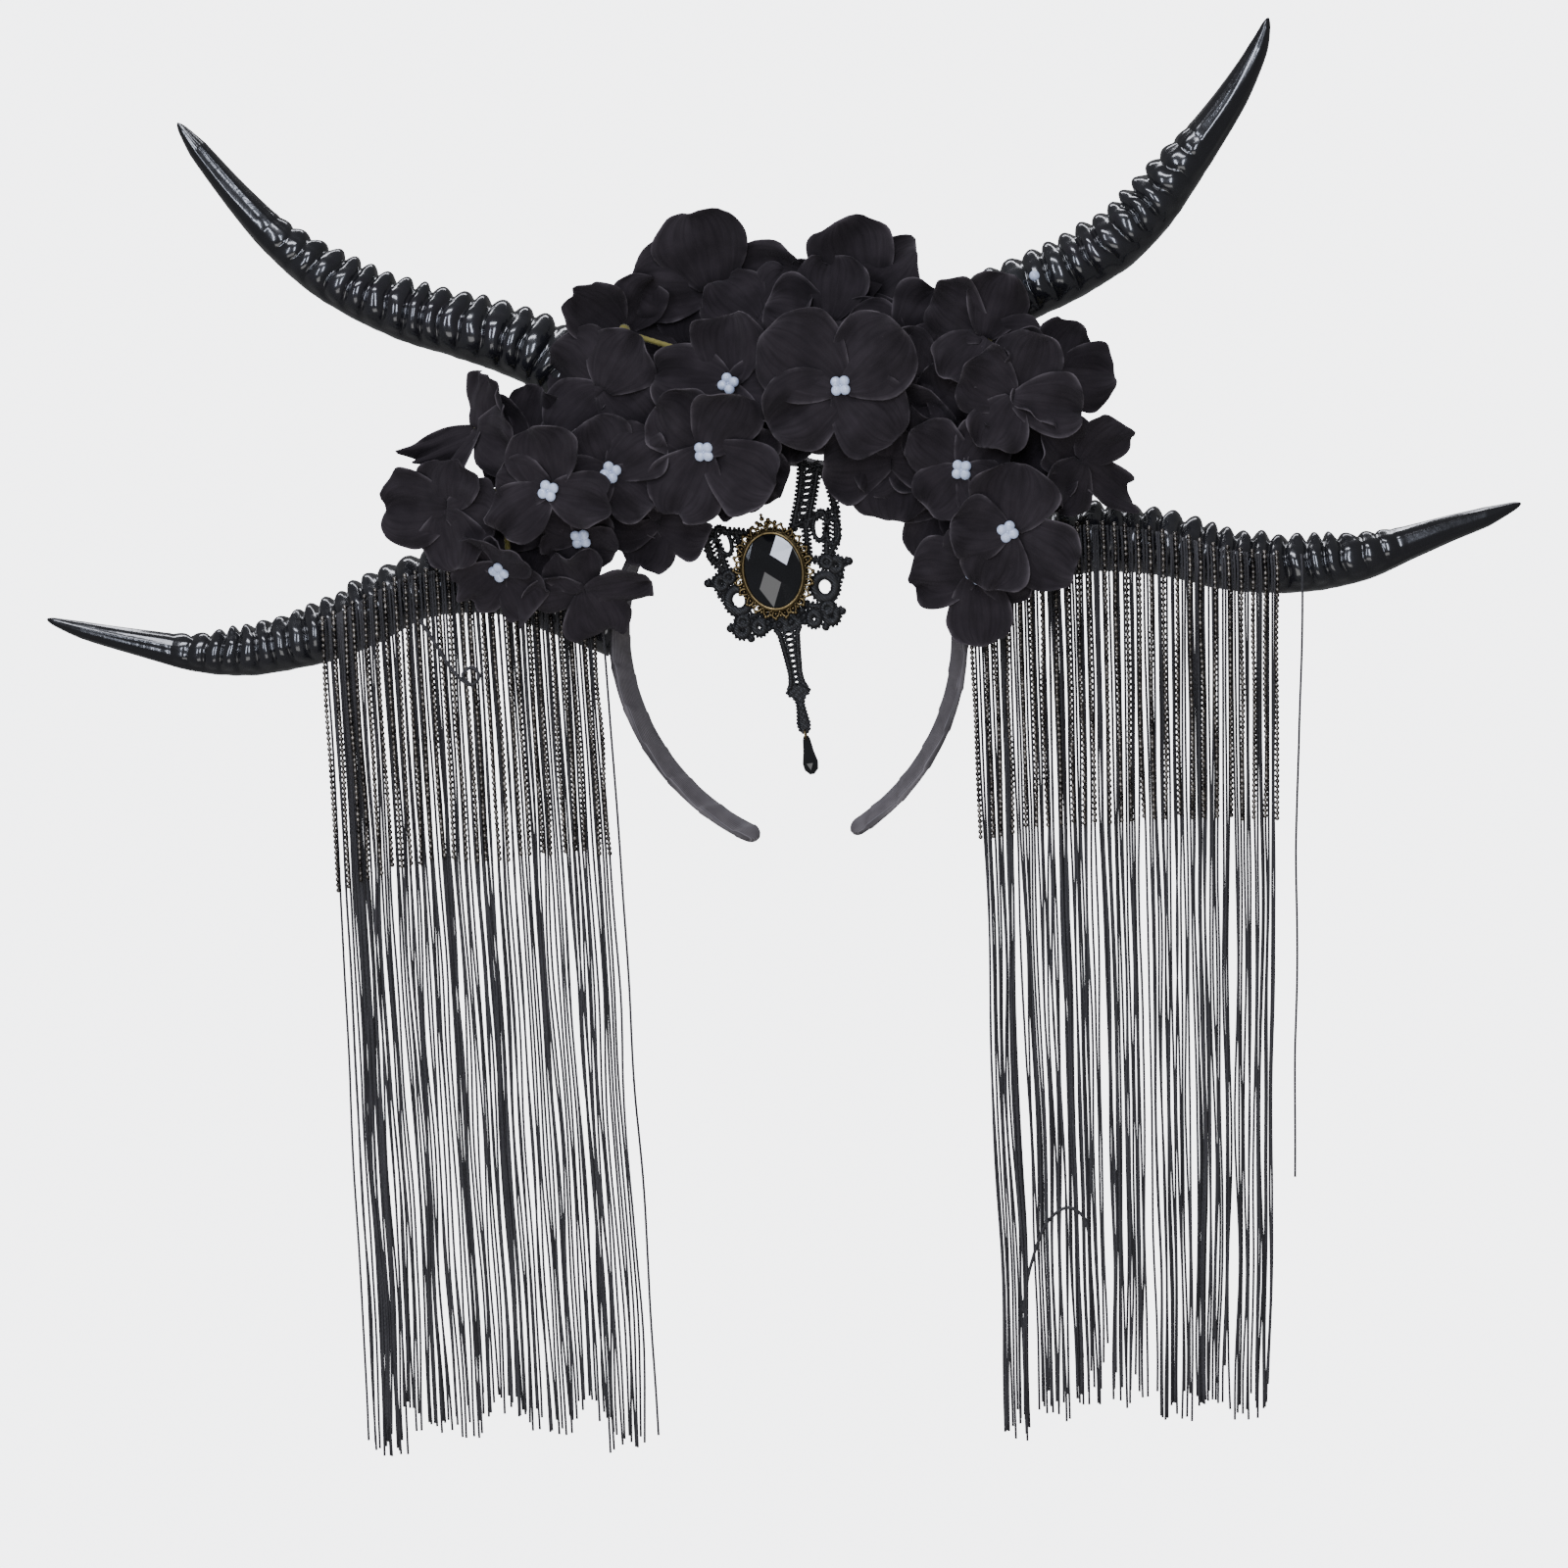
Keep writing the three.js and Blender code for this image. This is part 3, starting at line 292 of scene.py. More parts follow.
def band_at(distance):
    """The middle of the band and its outward direction, at a distance from its top."""
    side = -1 if distance < 0 else 1
    turn = min(abs(distance) / BAND_RADIUS, math.pi / 2)
    fall = max(abs(distance) - TOP_LENGTH, 0) / ARM_CURVE
    x = BAND_RADIUS * math.sin(turn) - ARM_CURVE * (1 - math.cos(fall))
    z = BAND_RADIUS * math.cos(turn) - HEAD_RADIUS - ARM_CURVE * math.sin(fall)
    outward = Vector((side * math.sin(turn + fall), 0, math.cos(turn + fall)))
    return Vector((side * x, 0, z)), outward


print("band, mm from tip to tip:", round(2 * BAND_REACH / MM))

# %% [markdown]
# The ribbon is wound in overlapping turns, and each turn ends in a low slanted step. A tube whose
# thickness follows a saw-tooth along the band, shifted across its width, gives those steps as
# real geometry. The section is a rounded rectangle, made from a circle whose sine and cosine are
# raised to a small power.

# %% The ribbon-wrapped band
WRAP_PITCH = 16 * MM
WRAP_STEP = 0.8 * MM
WRAP_SLANT = 0.55  # how far a turn leans along the band for each unit across it
WRAP_DROP = 0.12  # share of a turn in which the ribbon drops to the one below
TWIST_START = 0.4  # share of the half circle after which the band starts to twist


def squared(value, power=0.45):
    """Pushes a sine or cosine towards its ends, which squares a circle off."""
    return math.copysign(abs(value) ** power, value)


def wrap_height(along, across):
    """How far the ribbon stands up: it rises over one turn and drops at the next one's edge."""
    share = ((along + WRAP_SLANT * across) / WRAP_PITCH) % 1
    return WRAP_STEP * (min(share / (1 - WRAP_DROP), (1 - share) / WRAP_DROP) - 0.7)


def band_bmesh():
    bm = bmesh.new()
    along_layer = bm.verts.layers.float.new("along")
    across_layer = bm.verts.layers.float.new("across")
    rounded = TIP_WIDTH / 2

    def place(u, v, vert):
        distance = mix(-BAND_REACH, BAND_REACH, v)
        middle, outward = band_at(distance)
        past = max(abs(distance) - (BAND_REACH - rounded), 0) / rounded
        share = abs(distance) / BAND_REACH
        width = mix(BAND_WIDTH, TIP_WIDTH, share) * math.sqrt(max(1 - past ** 2, 0.002))
        twist = ARM_TWIST * eased(abs(distance), TWIST_START * TOP_LENGTH, TOP_LENGTH)
        back = Vector((0, 1, 0))
        thick = outward * math.cos(twist) + back * math.sin(twist)
        wide = back * math.cos(twist) - outward * math.sin(twist)
        angle = u * 2 * math.pi
        across = squared(math.sin(angle)) * width / 2
        lift = wrap_height(distance, across) * (1 - past ** 2)
        half = (BAND_THICKNESS / 2 + lift) * math.sqrt(max(1 - past ** 2, 0.02))
        vert[along_layer] = distance
        vert[across_layer] = across
        beside = wide * (across + math.copysign(lift, across))
        return middle + beside + thick * squared(math.cos(angle)) * half

    shaped_grid(bm, 24, 700, place)
    close_tubes(bm, 24)
    return bm


# %% [markdown]
# Satin is woven so that long threads float on its face, all one way. That gives it a soft stripe
# of light across the thread direction, which an anisotropic shader draws, and a faint sheen at
# grazing angles. The weave is far finer than a pixel, so its ribs are drawn 0.7 mm apart.


# %% Charcoal satin ribbon
def satin_material():
    material, tree, shader, here = start_material(
        "charcoal satin ribbon", Roughness=0.6, Anisotropic=0.6, Sheen_Weight=0.06,
        Sheen_Roughness=0.3, IOR=1.54)
    along = add_node(tree, "ShaderNodeAttribute", attribute_name="along").outputs["Fac"]
    across = add_node(tree, "ShaderNodeAttribute", attribute_name="across").outputs["Fac"]
    sheet = add_node(tree, "ShaderNodeCombineXYZ", {"X": along, "Y": across}).outputs[0]
    ribs = add_node(tree, "ShaderNodeTexWave", {
        "Vector": sheet, "Scale": waves_mm(0.7), "Distortion": 0.8, "Detail": 1.0},
        bands_direction="Y").outputs["Fac"]
    folds = noise_of(tree, here, 7, 3.0)
    tone = add_node(tree, "ShaderNodeMath", {0: ribs, 1: folds}, operation="MULTIPLY").outputs[0]
    paint(tree, shader, tone, "#383436", "#767072")
    fine = add_node(tree, "ShaderNodeBump", {
        "Height": ribs, "Strength": 0.25, "Distance": 0.1 * MM})
    bump = add_node(tree, "ShaderNodeBump", {
        "Height": folds, "Strength": 0.5, "Distance": 0.6 * MM, "Normal": fine.outputs[0]})
    tree.links.new(bump.outputs[0], shader.inputs["Normal"])
    return material


satin = satin_material()
add_piece("ribbon_wrapped_band", band_bmesh(), satin, ["headband"])

# %% [markdown]
# Each horn leaves the band at an angle and bends in an S through a short table of places, the
# same one that the CAD model uses: how far out and up, as shares of the horn's reach, and how
# thick, as a share of its girth. A smooth curve through the places gives the middle of every
# ring. The curve's knots are spaced by the square root of the distances, which keeps it from
# overshooting.

# %% The horns' middle lines
SWEEP_BACK = 12 * MM
HORNS = {
    "horn_upper_left": {
        "side": -1, "root": 29, "reach": 190, "girth": 27, "pitch": 7.9,
        "rows": [
            (0.1, 0.1, 1), (0.218, 0.229, 1), (0.288, 0.291, 0.94), (0.436, 0.355, 0.86),
            (0.555, 0.393, 0.76), (0.704, 0.474, 0.67), (0.802, 0.555, 0.53), (0.878, 0.644, 0.43),
            (0.961, 0.757, 0.29), (1, 0.814, 0.08),
        ],
    },
    "horn_upper_right": {
        "side": 1, "root": 29, "reach": 190, "girth": 27, "pitch": 7.9,
        "rows": [
            (0.1, 0.12, 0.96), (0.222, 0.262, 0.9), (0.338, 0.338, 0.84), (0.432, 0.373, 0.81),
            (0.548, 0.431, 0.79), (0.63, 0.497, 0.7), (0.691, 0.568, 0.64), (0.746, 0.631, 0.54),
            (0.809, 0.711, 0.43), (0.862, 0.796, 0.28), (0.886, 0.854, 0.08),
        ],
    },
    "horn_lower_left": {
        "side": -1, "root": 85, "reach": 220, "girth": 23.3, "pitch": 7,
        "rows": [
            (0.105, 0.052, 0.97), (0.187, 0.09, 0.99), (0.28, 0.1, 1), (0.358, 0.091, 0.98),
            (0.432, 0.058, 0.97), (0.508, 0.028, 0.9), (0.587, 0.01, 0.81), (0.67, 0, 0.73),
            (0.756, 0.005, 0.6), (0.834, 0.024, 0.485), (0.962, 0.06, 0.29), (1.026, 0.083, 0.09),
        ],
    },
    "horn_lower_right": {
        "side": 1, "root": 85, "reach": 220, "girth": 23.3, "pitch": 7,
        "rows": [
            (0.13, 0.074, 1.03), (0.226, 0.097, 1.06), (0.311, 0.089, 1), (0.386, 0.071, 0.94),
            (0.47, 0.042, 0.9), (0.562, 0.026, 0.85), (0.639, 0.024, 0.81), (0.717, 0.033, 0.71),
            (0.784, 0.051, 0.56), (0.86, 0.071, 0.43), (0.925, 0.086, 0.32), (0.986, 0.104, 0.09),
        ],
    },
}


def smooth_line(places, steps):
    """Samples a smooth curve through places, with knots spaced by the root of each distance."""
    ends = [2 * places[0] - places[1], *places, 2 * places[-1] - places[-2]]
    knots = [0.0]
    for before, after in zip(ends, ends[1:]):
        knots.append(knots[-1] + math.sqrt((after - before).length))
    line = []
    for i in range(1, len(ends) - 2):
        p, t = ends[i - 1:i + 3], knots[i - 1:i + 3]
        for step in range(steps):
            at = mix(t[1], t[2], step / steps)
            a = [mix(p[k], p[k + 1], (at - t[k]) / (t[k + 1] - t[k])) for k in range(3)]
            b = [mix(a[k], a[k + 1], (at - t[k]) / (t[k + 2] - t[k])) for k in range(2)]
            line.append(mix(b[0], b[1], (at - t[1]) / (t[2] - t[1])))
    return [*line, places[-1].copy()]


class Line:
    """A smooth line through places, read by the share of its length, with values along it."""

    def __init__(self, places, values=None, steps=24):
        self.points = smooth_line(places, steps)
        self.lengths = [0.0]
        for before, after in zip(self.points, self.points[1:]):
            self.lengths.append(self.lengths[-1] + (after - before).length)
        self.length = self.lengths[-1]
        self.values = values
        self.steps = steps

    def at(self, share):
        """The place, the direction and the value at a share of the length."""
        distance = min(max(share, 0), 1) * self.length
        low, high = 0, len(self.lengths) - 2
        while low < high:
            middle = (low + high + 1) // 2
            low, high = (middle, high) if self.lengths[middle] <= distance else (low, middle - 1)
        part = (distance - self.lengths[low]) / (self.lengths[low + 1] - self.lengths[low])
        here, after = self.points[low], self.points[low + 1]
        value = None
        if self.values:
            knot = (low + part) / self.steps
            first = min(int(knot), len(self.values) - 2)
            value = mix(self.values[first], self.values[first + 1], knot - first)
        return mix(here, after, part), (after - here).normalized(), value


for horn in HORNS.values():
    root, _ = band_at(horn["side"] * BAND_RADIUS * math.radians(horn["root"]))
    reach = horn["reach"] * MM
    places = [root + Vector((horn["side"] * out * reach, SWEEP_BACK * out ** 2, up * reach))
              for out, up, _ in horn["rows"]]
    widths = [row[2] * horn["girth"] * MM for row in horn["rows"]]
    horn["line"] = Line([root, *places], [widths[0], *widths])
print("horn lengths, mm:", [round(horn["line"].length / MM) for horn in HORNS.values()])

# %% [markdown]
# A horn is one grid rolled round its line. Each ridge is a bar down the front with a round knob on
# top, and it dies out underneath, as on a real antelope. Perfect rings would look turned on a
# lathe, so the ridges wobble, differ in height and carry small lumps, all from Blender's own
# noise, which gives the same lumps on every run. The root is cut off flat where it sits on the
# band.

# %% The ridged horns
RIDGE_HEIGHT = 2 * MM
VALLEY_DEPTH = 0.3 * RIDGE_HEIGHT
RIDGE_RISES, RIDGE_DIES = (-75, 5), (98, 140)  # degrees forward from the top of the horn
KNOB_HEIGHT, KNOB_AT, KNOB_SPREAD = 1.3 * MM, 4, 24
NECK_DEPTH, NECK_AT, NECK_SPREAD = 0.5 * MM, 34, 11
LUMP_HEIGHT = 0.28 * MM
CREASE_DEPTH = 0.035  # of the smooth tip, as a share of its thickness
PLAIN_ROOT, SMOOTH_TIP = 0.15, 0.25
TOUCH_GAP = 0.3 * MM
HORN_SIDES, HORN_STEPS = 56, 420


def axes_at(line, share):
    """The middle of a horn with its thickness, its direction, its back and its top."""
    middle, tangent, thickness = line.at(share)
    back = Vector((0, 1, 0))
    back = (back - tangent * back.dot(tangent)).normalized()
    top = tangent.cross(back)
    if top.z < 0:
        top.negate()
    return middle, thickness, tangent, back, top


def bell(value, middle, spread):
    """Is 1 at the middle and falls away on both sides of it."""
    return math.exp(-((value - middle) / spread) ** 2)


def ridge_at(phase, seed):
    """The height of a ridge, from 0 in a valley to about 1 on a crest."""
    order = math.floor(phase)
    strength = 1 + 0.3 * noise.noise(Vector((order * 1.7, seed, 0)))
    from_crest = 2 * (phase - order) - 1
    return strength * (1 - abs(from_crest) ** 2.2) ** 0.8


def horn_bmesh(horn, seed):
    bm = bmesh.new()
    crest_layer = bm.verts.layers.float.new("crest")
    line = horn["line"]
    ridged = 1 - SMOOTH_TIP - PLAIN_ROOT
    ridges = round(ridged * line.length / (horn["pitch"] * MM))

    def place(u, v, vert):
        middle, thickness, _, back, top = axes_at(line, v)
        angle = u * 2 * math.pi
        around = Vector((math.cos(angle), math.sin(angle), 0))
        wobble = noise.noise(around * 0.9 + Vector((0, 0, v * 14 + seed)))
        phase = (v - PLAIN_ROOT) / ridged * ridges + 0.35 * wobble
        fade = min(max((ridges + 1.5 - phase) / 4, 0), 1)
        forward = math.degrees(math.remainder(-angle, 2 * math.pi))
        lift = eased(forward, *RIDGE_RISES) * (1 - eased(forward, *RIDGE_DIES))
        ridge = ridge_at(phase, seed)
        knob = bell(forward, KNOB_AT, KNOB_SPREAD) * ridge ** 2
        neck = bell(forward, NECK_AT, NECK_SPREAD) * ridge
        raised = lift * (ridge * RIDGE_HEIGHT - (1 - ridge) * VALLEY_DEPTH) - NECK_DEPTH * neck
        raised = fade * (raised + KNOB_HEIGHT * knob)
        lumps = noise.noise(around * 2.6 + Vector((0, 0, v * 60 + seed)))
        crease = noise.noise(around * 3.2 + Vector((0, 0, v * 5 - seed)))
        raised += LUMP_HEIGHT * lumps * fade + CREASE_DEPTH * thickness * crease * (1 - fade)
        radius = max(thickness / 2 + raised, 0.7 * MM)
        radius *= math.sqrt(max(1 - max((v - 0.985) / 0.015, 0) ** 2, 0.01))
        vert[crest_layer] = min(max(ridge * lift * fade, 0), 1)
        return middle + (top * around.x + back * around.y) * radius

    shaped_grid(bm, HORN_SIDES, HORN_STEPS, place)
    bmesh.ops.remove_doubles(bm, verts=bm.verts, dist=1e-6)
    seat, outward = band_at(horn["side"] * BAND_RADIUS * math.radians(horn["root"]))
    seat += outward * (BAND_THICKNESS / 2 + TOUCH_GAP)
    bmesh.ops.bisect_plane(bm, geom=[*bm.verts, *bm.edges, *bm.faces], plane_co=seat,
                           plane_no=outward, clear_inner=True)
    close_tubes(bm, 0)
    return bm


for seed, (name, horn) in enumerate(HORNS.items()):
    add_piece(name.replace("horn", "ridged_horn"), horn_bmesh(horn, 7.3 * seed + 1), lacquer,
              [name])

# %% [markdown]
# The blossoms are die-cut from charcoal velvet-like cloth, wired, and bunched in three sprays. The
# table gives each one's place across, up and ahead of its spray's seat on the band and its size,
# in blossom radii, then how far it turns, tips and spins, how deep it is cupped and folded, where
# its stem leaves the spray, and whether its painted centre shows. It is the CAD model's table, so
# that each blossom made here lies on the solid that it stands for.

# %% Where the blossoms sit
BLOSSOM_RADIUS = 29 * MM
SPRAYS = {
    "left": {
        "angle": -48,
        "stem": [(-0.22, 0.19, 0.3), (-0.92, 0.39, 0.4), (-1.62, 0.59, 0.35), (-2.22, 0.69, 0.3)],
        "rows": [
            (0.2, 0.14, 0.88, 0.68, -10, -10, 20, 0.14, 0.04, 0.1, False),
            (-0.38, 1.93, 0.86, 0.92, -6, 4, 30, -0.1, 0.06, 0.25, False),
            (-0.34, 0.87, 1.2, 0.76, 8, 4, -14, 0.12, -0.05, 0.2, True),
            (-0.79, 0.05, 1.22, 0.56, -5, -18, 40, 0.1, 0.05, 0.35, True),
            (-0.82, -0.67, 1.04, 0.78, 0, -20, 18, 0.1, 0.06, 0.3, False),
            (-1.1, 0.72, 1.62, 0.84, -8, 5, -22, 0.14, 0.05, 0.5, True),
            (-2.1, 1.52, 0.72, 0.84, -35, 8, 40, 0.2, 0.08, 0.75, False),
            (-1.9, -0.31, 1.14, 0.72, -26, -26, 15, 0.14, 0.06, 0.8, True),
            (-2.55, 0.53, 1.1, 0.84, -14, -4, 8, 0.08, -0.06, 1, False),
        ],
    },
    "top": {
        "angle": 4,
        "stem": [(-0.01, 0.45, 0.2), (-0.06, 0.95, 0.3), (-0.16, 1.45, 0.15)],
        "rows": [
            (-0.79, 2.35, -0.1, 1.12, 180, 16, 20, -0.12, 0.06, 0.95, False),
            (-2, 1.88, 0.2, 0.88, -140, 10, 32, -0.1, 0.1, 0.75, False),
            (1.17, 2.08, 0.1, 1.04, 170, 10, -6, -0.1, 0.05, 0.9, False),
            (-0.54, 1.15, 1.06, 0.9, -8, 12, -12, 0.14, 0.05, 0.6, True),
            (-0.89, 0.33, 1.38, 0.88, -10, -6, -42, 0.12, -0.05, 0.3, True),
            (0.96, 1.06, 1.5, 1.06, 4, 2, 44, 0.08, 0.04, 0.5, True),
        ],
    },
    "right": {
        "angle": 50,
        "stem": [(0.26, 0.35, 0.3), (0.96, 0.55, 0.4), (1.56, 0.75, 0.35), (1.96, 0.85, 0.3)],
        "rows": [
            (-0.1, 0.83, 0.92, 0.86, 6, -8, 10, 0.1, 0.05, 0.1, False),
            (0.48, 1.78, 0.84, 0.8, 6, 10, 30, 0.12, 0.06, 0.2, False),
            (0.85, 0.63, 1.16, 0.76, -6, 2, -35, 0.14, 0.05, 0.35, True),
            (1.25, 2.31, 0.9, 0.84, 10, 14, 35, 0.12, 0.08, 0.45, False),
            (0.93, -0.73, 1.12, 0.82, -8, -10, -5, 0.1, 0.04, 0.4, True),
            (1.41, -0.17, 1.58, 0.88, 6, -4, 22, 0.12, -0.05, 0.5, True),
            (1.6, 1.51, 1.3, 0.84, 8, 8, 10, 0.2, 0.06, 0.6, False),
            (2.1, 1.74, 0.84, 0.78, 25, 12, 20, 0.14, 0.06, 0.85, False),
            (2.35, 0.61, 0.8, 0.78, 35, -12, 42, 0.2, 0.08, 1, False),
        ],
    },
}


def away_from_seat(spray, across, up, ahead):
    """A place across, up and ahead of a spray's seat on the band."""
    seat, _ = band_at(BAND_RADIUS * math.radians(spray["angle"]))
    return seat + Vector((across, -ahead, up)) * BLOSSOM_RADIUS


def blossom_pose(middle, yaw, pitch, spin):
    """Turns a blossom made facing up, with a petal at +Y, to face the viewer and then as told."""
    turn = Matrix.Rotation(math.radians(yaw), 4, "Z")
    turn = turn @ Matrix.Rotation(math.radians(90 - pitch), 4, "X")
    return Matrix.Translation(middle) @ turn @ Matrix.Rotation(math.radians(-spin), 4, "Z")


blossoms = {}
for side, spray in SPRAYS.items():
    for order, row in enumerate(spray["rows"], 1):
        across, up, ahead, size, yaw, pitch, spin, cup, fold, joint, centre = row
        blossoms[f"{side}_{order}"] = {
            "pose": blossom_pose(away_from_seat(spray, across, up, ahead), yaw, pitch, spin),
            "radius": size * BLOSSOM_RADIUS, "cup": cup, "fold": fold, "joint": joint,
            "centre": centre, "spray": side, "yaw": yaw, "spin": spin,
        }
print(len(blossoms), "blossoms")

# %% [markdown]
# Velvet-like petal cloth takes most light in, and gives back a soft bloom at grazing angles, which
# is sheen. Pressing leaves faint veins that fan out from the foot of each petal, and a thin light
# line is painted along the cut edge, a painted highlight where the edge of the pile catches the
# light. All three follow the petal, so they read values that the mesh carries: how far across and
# along the petal a point is, and how near its rim.


# %% Matt charcoal petal cloth
def petal_material():
    material, tree, shader, here = start_material(
        "matt charcoal petal cloth", Roughness=1.0, Specular_IOR_Level=0.2, Sheen_Weight=0.08,
        Sheen_Roughness=0.5, IOR=1.4)
    shader.inputs["Sheen Tint"].default_value = linear("#b9b0b6")
    across = add_node(tree, "ShaderNodeAttribute", attribute_name="across").outputs["Fac"]
    reach = add_node(tree, "ShaderNodeAttribute", attribute_name="reach").outputs["Fac"]
    rim = add_node(tree, "ShaderNodeAttribute", attribute_name="rim").outputs["Fac"]
    fan = add_node(tree, "ShaderNodeCombineXYZ", {"X": across, "Y": reach}).outputs[0]
    stretched = add_node(tree, "ShaderNodeMapping", {
        "Vector": fan, "Scale": (9, 1.6, 1)}).outputs[0]
    veins = add_node(tree, "ShaderNodeTexNoise", {
        "Vector": stretched, "Scale": 1.0, "Detail": 3.0, "Distortion": 0.5}).outputs["Fac"]
    nap = noise_of(tree, here, 9, 4.0)
    pile = noise_of(tree, here, 0.5, 2.0)
    tone = add_node(tree, "ShaderNodeMath", {0: veins, 1: nap}, operation="MULTIPLY").outputs[0]
    cloth = add_node(tree, "ShaderNodeMix", {
        0: tone, 6: linear("#151214"), 7: linear("#3b3539")}, data_type="RGBA").outputs[2]
    # The pale line along each petal's rim is a painted highlight, broken up by the nap's noise.
    patchy_share = add_node(tree, "ShaderNodeMapRange", {
        "Value": nap, "From Min": 0.42, "From Max": 0.62, "To Min": 0.1}).outputs[0]
    rim_highlight = add_node(tree, "ShaderNodeMath", {0: rim, 1: patchy_share}, operation="MULTIPLY").outputs[0]
    colour = add_node(tree, "ShaderNodeMix", {
        0: rim_highlight, 6: cloth, 7: linear("#514b4e")}, data_type="RGBA").outputs[2]
    tree.links.new(colour, shader.inputs["Base Color"])
    pressed = add_node(tree, "ShaderNodeBump", {
        "Height": veins, "Strength": 0.4, "Distance": 0.4 * MM}).outputs[0]
    bump = add_node(tree, "ShaderNodeBump", {
        "Height": pile, "Strength": 0.3, "Distance": 0.15 * MM, "Normal": pressed})
    tree.links.new(bump.outputs[0], shader.inputs["Normal"])
    return material


petal_cloth = petal_material()

# %% [markdown]
# Cloth petals differ, and copies of one would look stamped. A table gives the turn, the length, the
# width and the curls of those that the photograph shows well, and a random generator with a fixed
# seed draws the rest. How the width changes along a petal is one curve for all of them.

# %% The petals' own shapes
PETAL_WALL = 1.2 * MM  # of the CAD model's blossoms
CLOTH = 0.4 * MM
BROADEST = 0.62
PETALS = {  # degrees clockwise as seen, length and half width in radii, end and side curl
    "top_1": [(-12, 1.0, 0.53, 0.1, 0.1), (80, 1.16, 0.46, -0.5, 0.5), (192, 0.8, 0.5, 0, 0),
              (-82, 0.98, 0.44, 0.2, -0.2)],
    "top_2": [(-60, 1.1, 0.45, 0.3, 0.3), (20, 0.9, 0.4, 0.2, 0.2), (110, 0.8, 0.45, 0, 0),
              (170, 0.95, 0.42, 0.4, 0.8)],
    "top_3": [(-10, 1.06, 0.5, 0.1, -0.1), (50, 0.95, 0.42, 0.9, 0.5), (150, 0.8, 0.5, 0, 0),
              (-80, 1.0, 0.42, 0.5, 0.5)],
    "top_4": [(-4, 1.04, 0.52, 0.25, 0.1), (-87, 1.12, 0.5, 0.1, -0.2), (88, 0.95, 0.5, 0.1, 0.2),
              (182, 0.9, 0.48, 0, 0)],
    "top_5": [(-40, 1.0, 0.56, 0.1, 0.1), (34, 1.05, 0.44, 0.2, -0.9), (118, 1.2, 0.5, 0.5, 0.5),
              (-152, 1.08, 0.54, 0.1, 0.1)],
    "top_6": [(-55, 1.14, 0.56, 0.1, 0.1), (48, 1.02, 0.54, 0.1, 0), (134, 0.95, 0.48, 0, 0.2),
              (-120, 1.0, 0.48, -0.1, 0.1)],
    "left_2": [(-50, 0.95, 0.55, 0.1, 0.1), (30, 0.9, 0.5, 0.1, 0.3), (130, 0.9, 0.5, 0, 0),
               (-135, 1.0, 0.55, 0.1, -0.1)],
    "left_3": [(-20, 0.98, 0.54, 0.2, 0), (56, 1.05, 0.5, 0, 0.3), (128, 1.0, 0.5, 0.1, 0),
               (-118, 0.85, 0.5, 0.2, 0.2)],
    "left_5": [(-98, 1.1, 0.36, 0.4, 0.7), (82, 1.15, 0.36, 0.4, -0.6), (160, 0.95, 0.55, -0.2, 0),
               (-25, 0.8, 0.5, 0, 0)],
    "left_6": [(-12, 1.02, 0.58, 0.1, 0.1), (-128, 1.02, 0.46, 0.1, 0.2),
               (102, 1.04, 0.42, 0.1, 0.2), (-75, 0.85, 0.42, 0, 0)],
    "left_7": [(-118, 1.15, 0.24, 0.6, 0.9), (-152, 1.3, 0.24, 0.4, -0.9),
               (25, 0.95, 0.5, 0.2, 0.3), (105, 1.0, 0.55, 0, 0)],
    "left_8": [(-30, 0.95, 0.5, 0.1, 0.5), (40, 0.8, 0.5, 0.2, 0), (140, 1.0, 0.5, 0.2, 0.4),
               (-120, 1.0, 0.5, 0.1, 0)],
    "left_9": [(-92, 1.02, 0.6, 0.1, 0), (10, 0.8, 0.5, 0.1, 0.4), (95, 0.9, 0.5, 0.1, 0),
               (170, 0.95, 0.55, 0.1, 0)],
    "right_3": [(-50, 1.05, 0.5, 0.2, 0.2), (42, 1.0, 0.48, 0.3, -0.4), (130, 0.9, 0.5, 0, 0),
                (-140, 0.9, 0.5, 0, 0.2)],
    "right_4": [(-50, 1.05, 0.42, 0.3, 0.9), (20, 1.0, 0.44, 0.3, -0.8), (110, 0.9, 0.5, 0, 0),
                (-140, 0.9, 0.5, 0, 0)],
    "right_5": [(-88, 1.05, 0.56, 0.1, 0), (4, 0.85, 0.5, 0, 0), (90, 0.9, 0.5, 0, 0),
                (176, 1.16, 0.5, 0.1, 0.1)],
    "right_6": [(10, 0.98, 0.6, 0.15, 0.1), (-86, 0.84, 0.46, 0.1, 0), (122, 1.14, 0.52, 0.1, -0.3),
                (-160, 0.9, 0.46, 0, 0.1)],
    "right_7": [(20, 1.1, 0.5, 0.2, 0.4), (100, 1.1, 0.46, 0.2, -0.5), (-60, 0.9, 0.5, 0, 0),
                (-150, 0.9, 0.45, 0.1, 0)],
    "right_9": [(125, 1.25, 0.34, 0.5, 0.6), (40, 0.9, 0.5, 0.2, 0), (-50, 0.9, 0.5, 0, 0),
                (-150, 0.9, 0.5, 0, 0)],
}


def petal_width(reach):
    """How wide a petal is at a share of its length, as a share of its greatest width."""
    if reach > BROADEST:
        return math.sqrt(max(1 - ((reach - BROADEST) / (1 - BROADEST)) ** 2, 0))
    return mix(0.3, 1, math.sin(reach / BROADEST * math.pi / 2) ** 0.85)


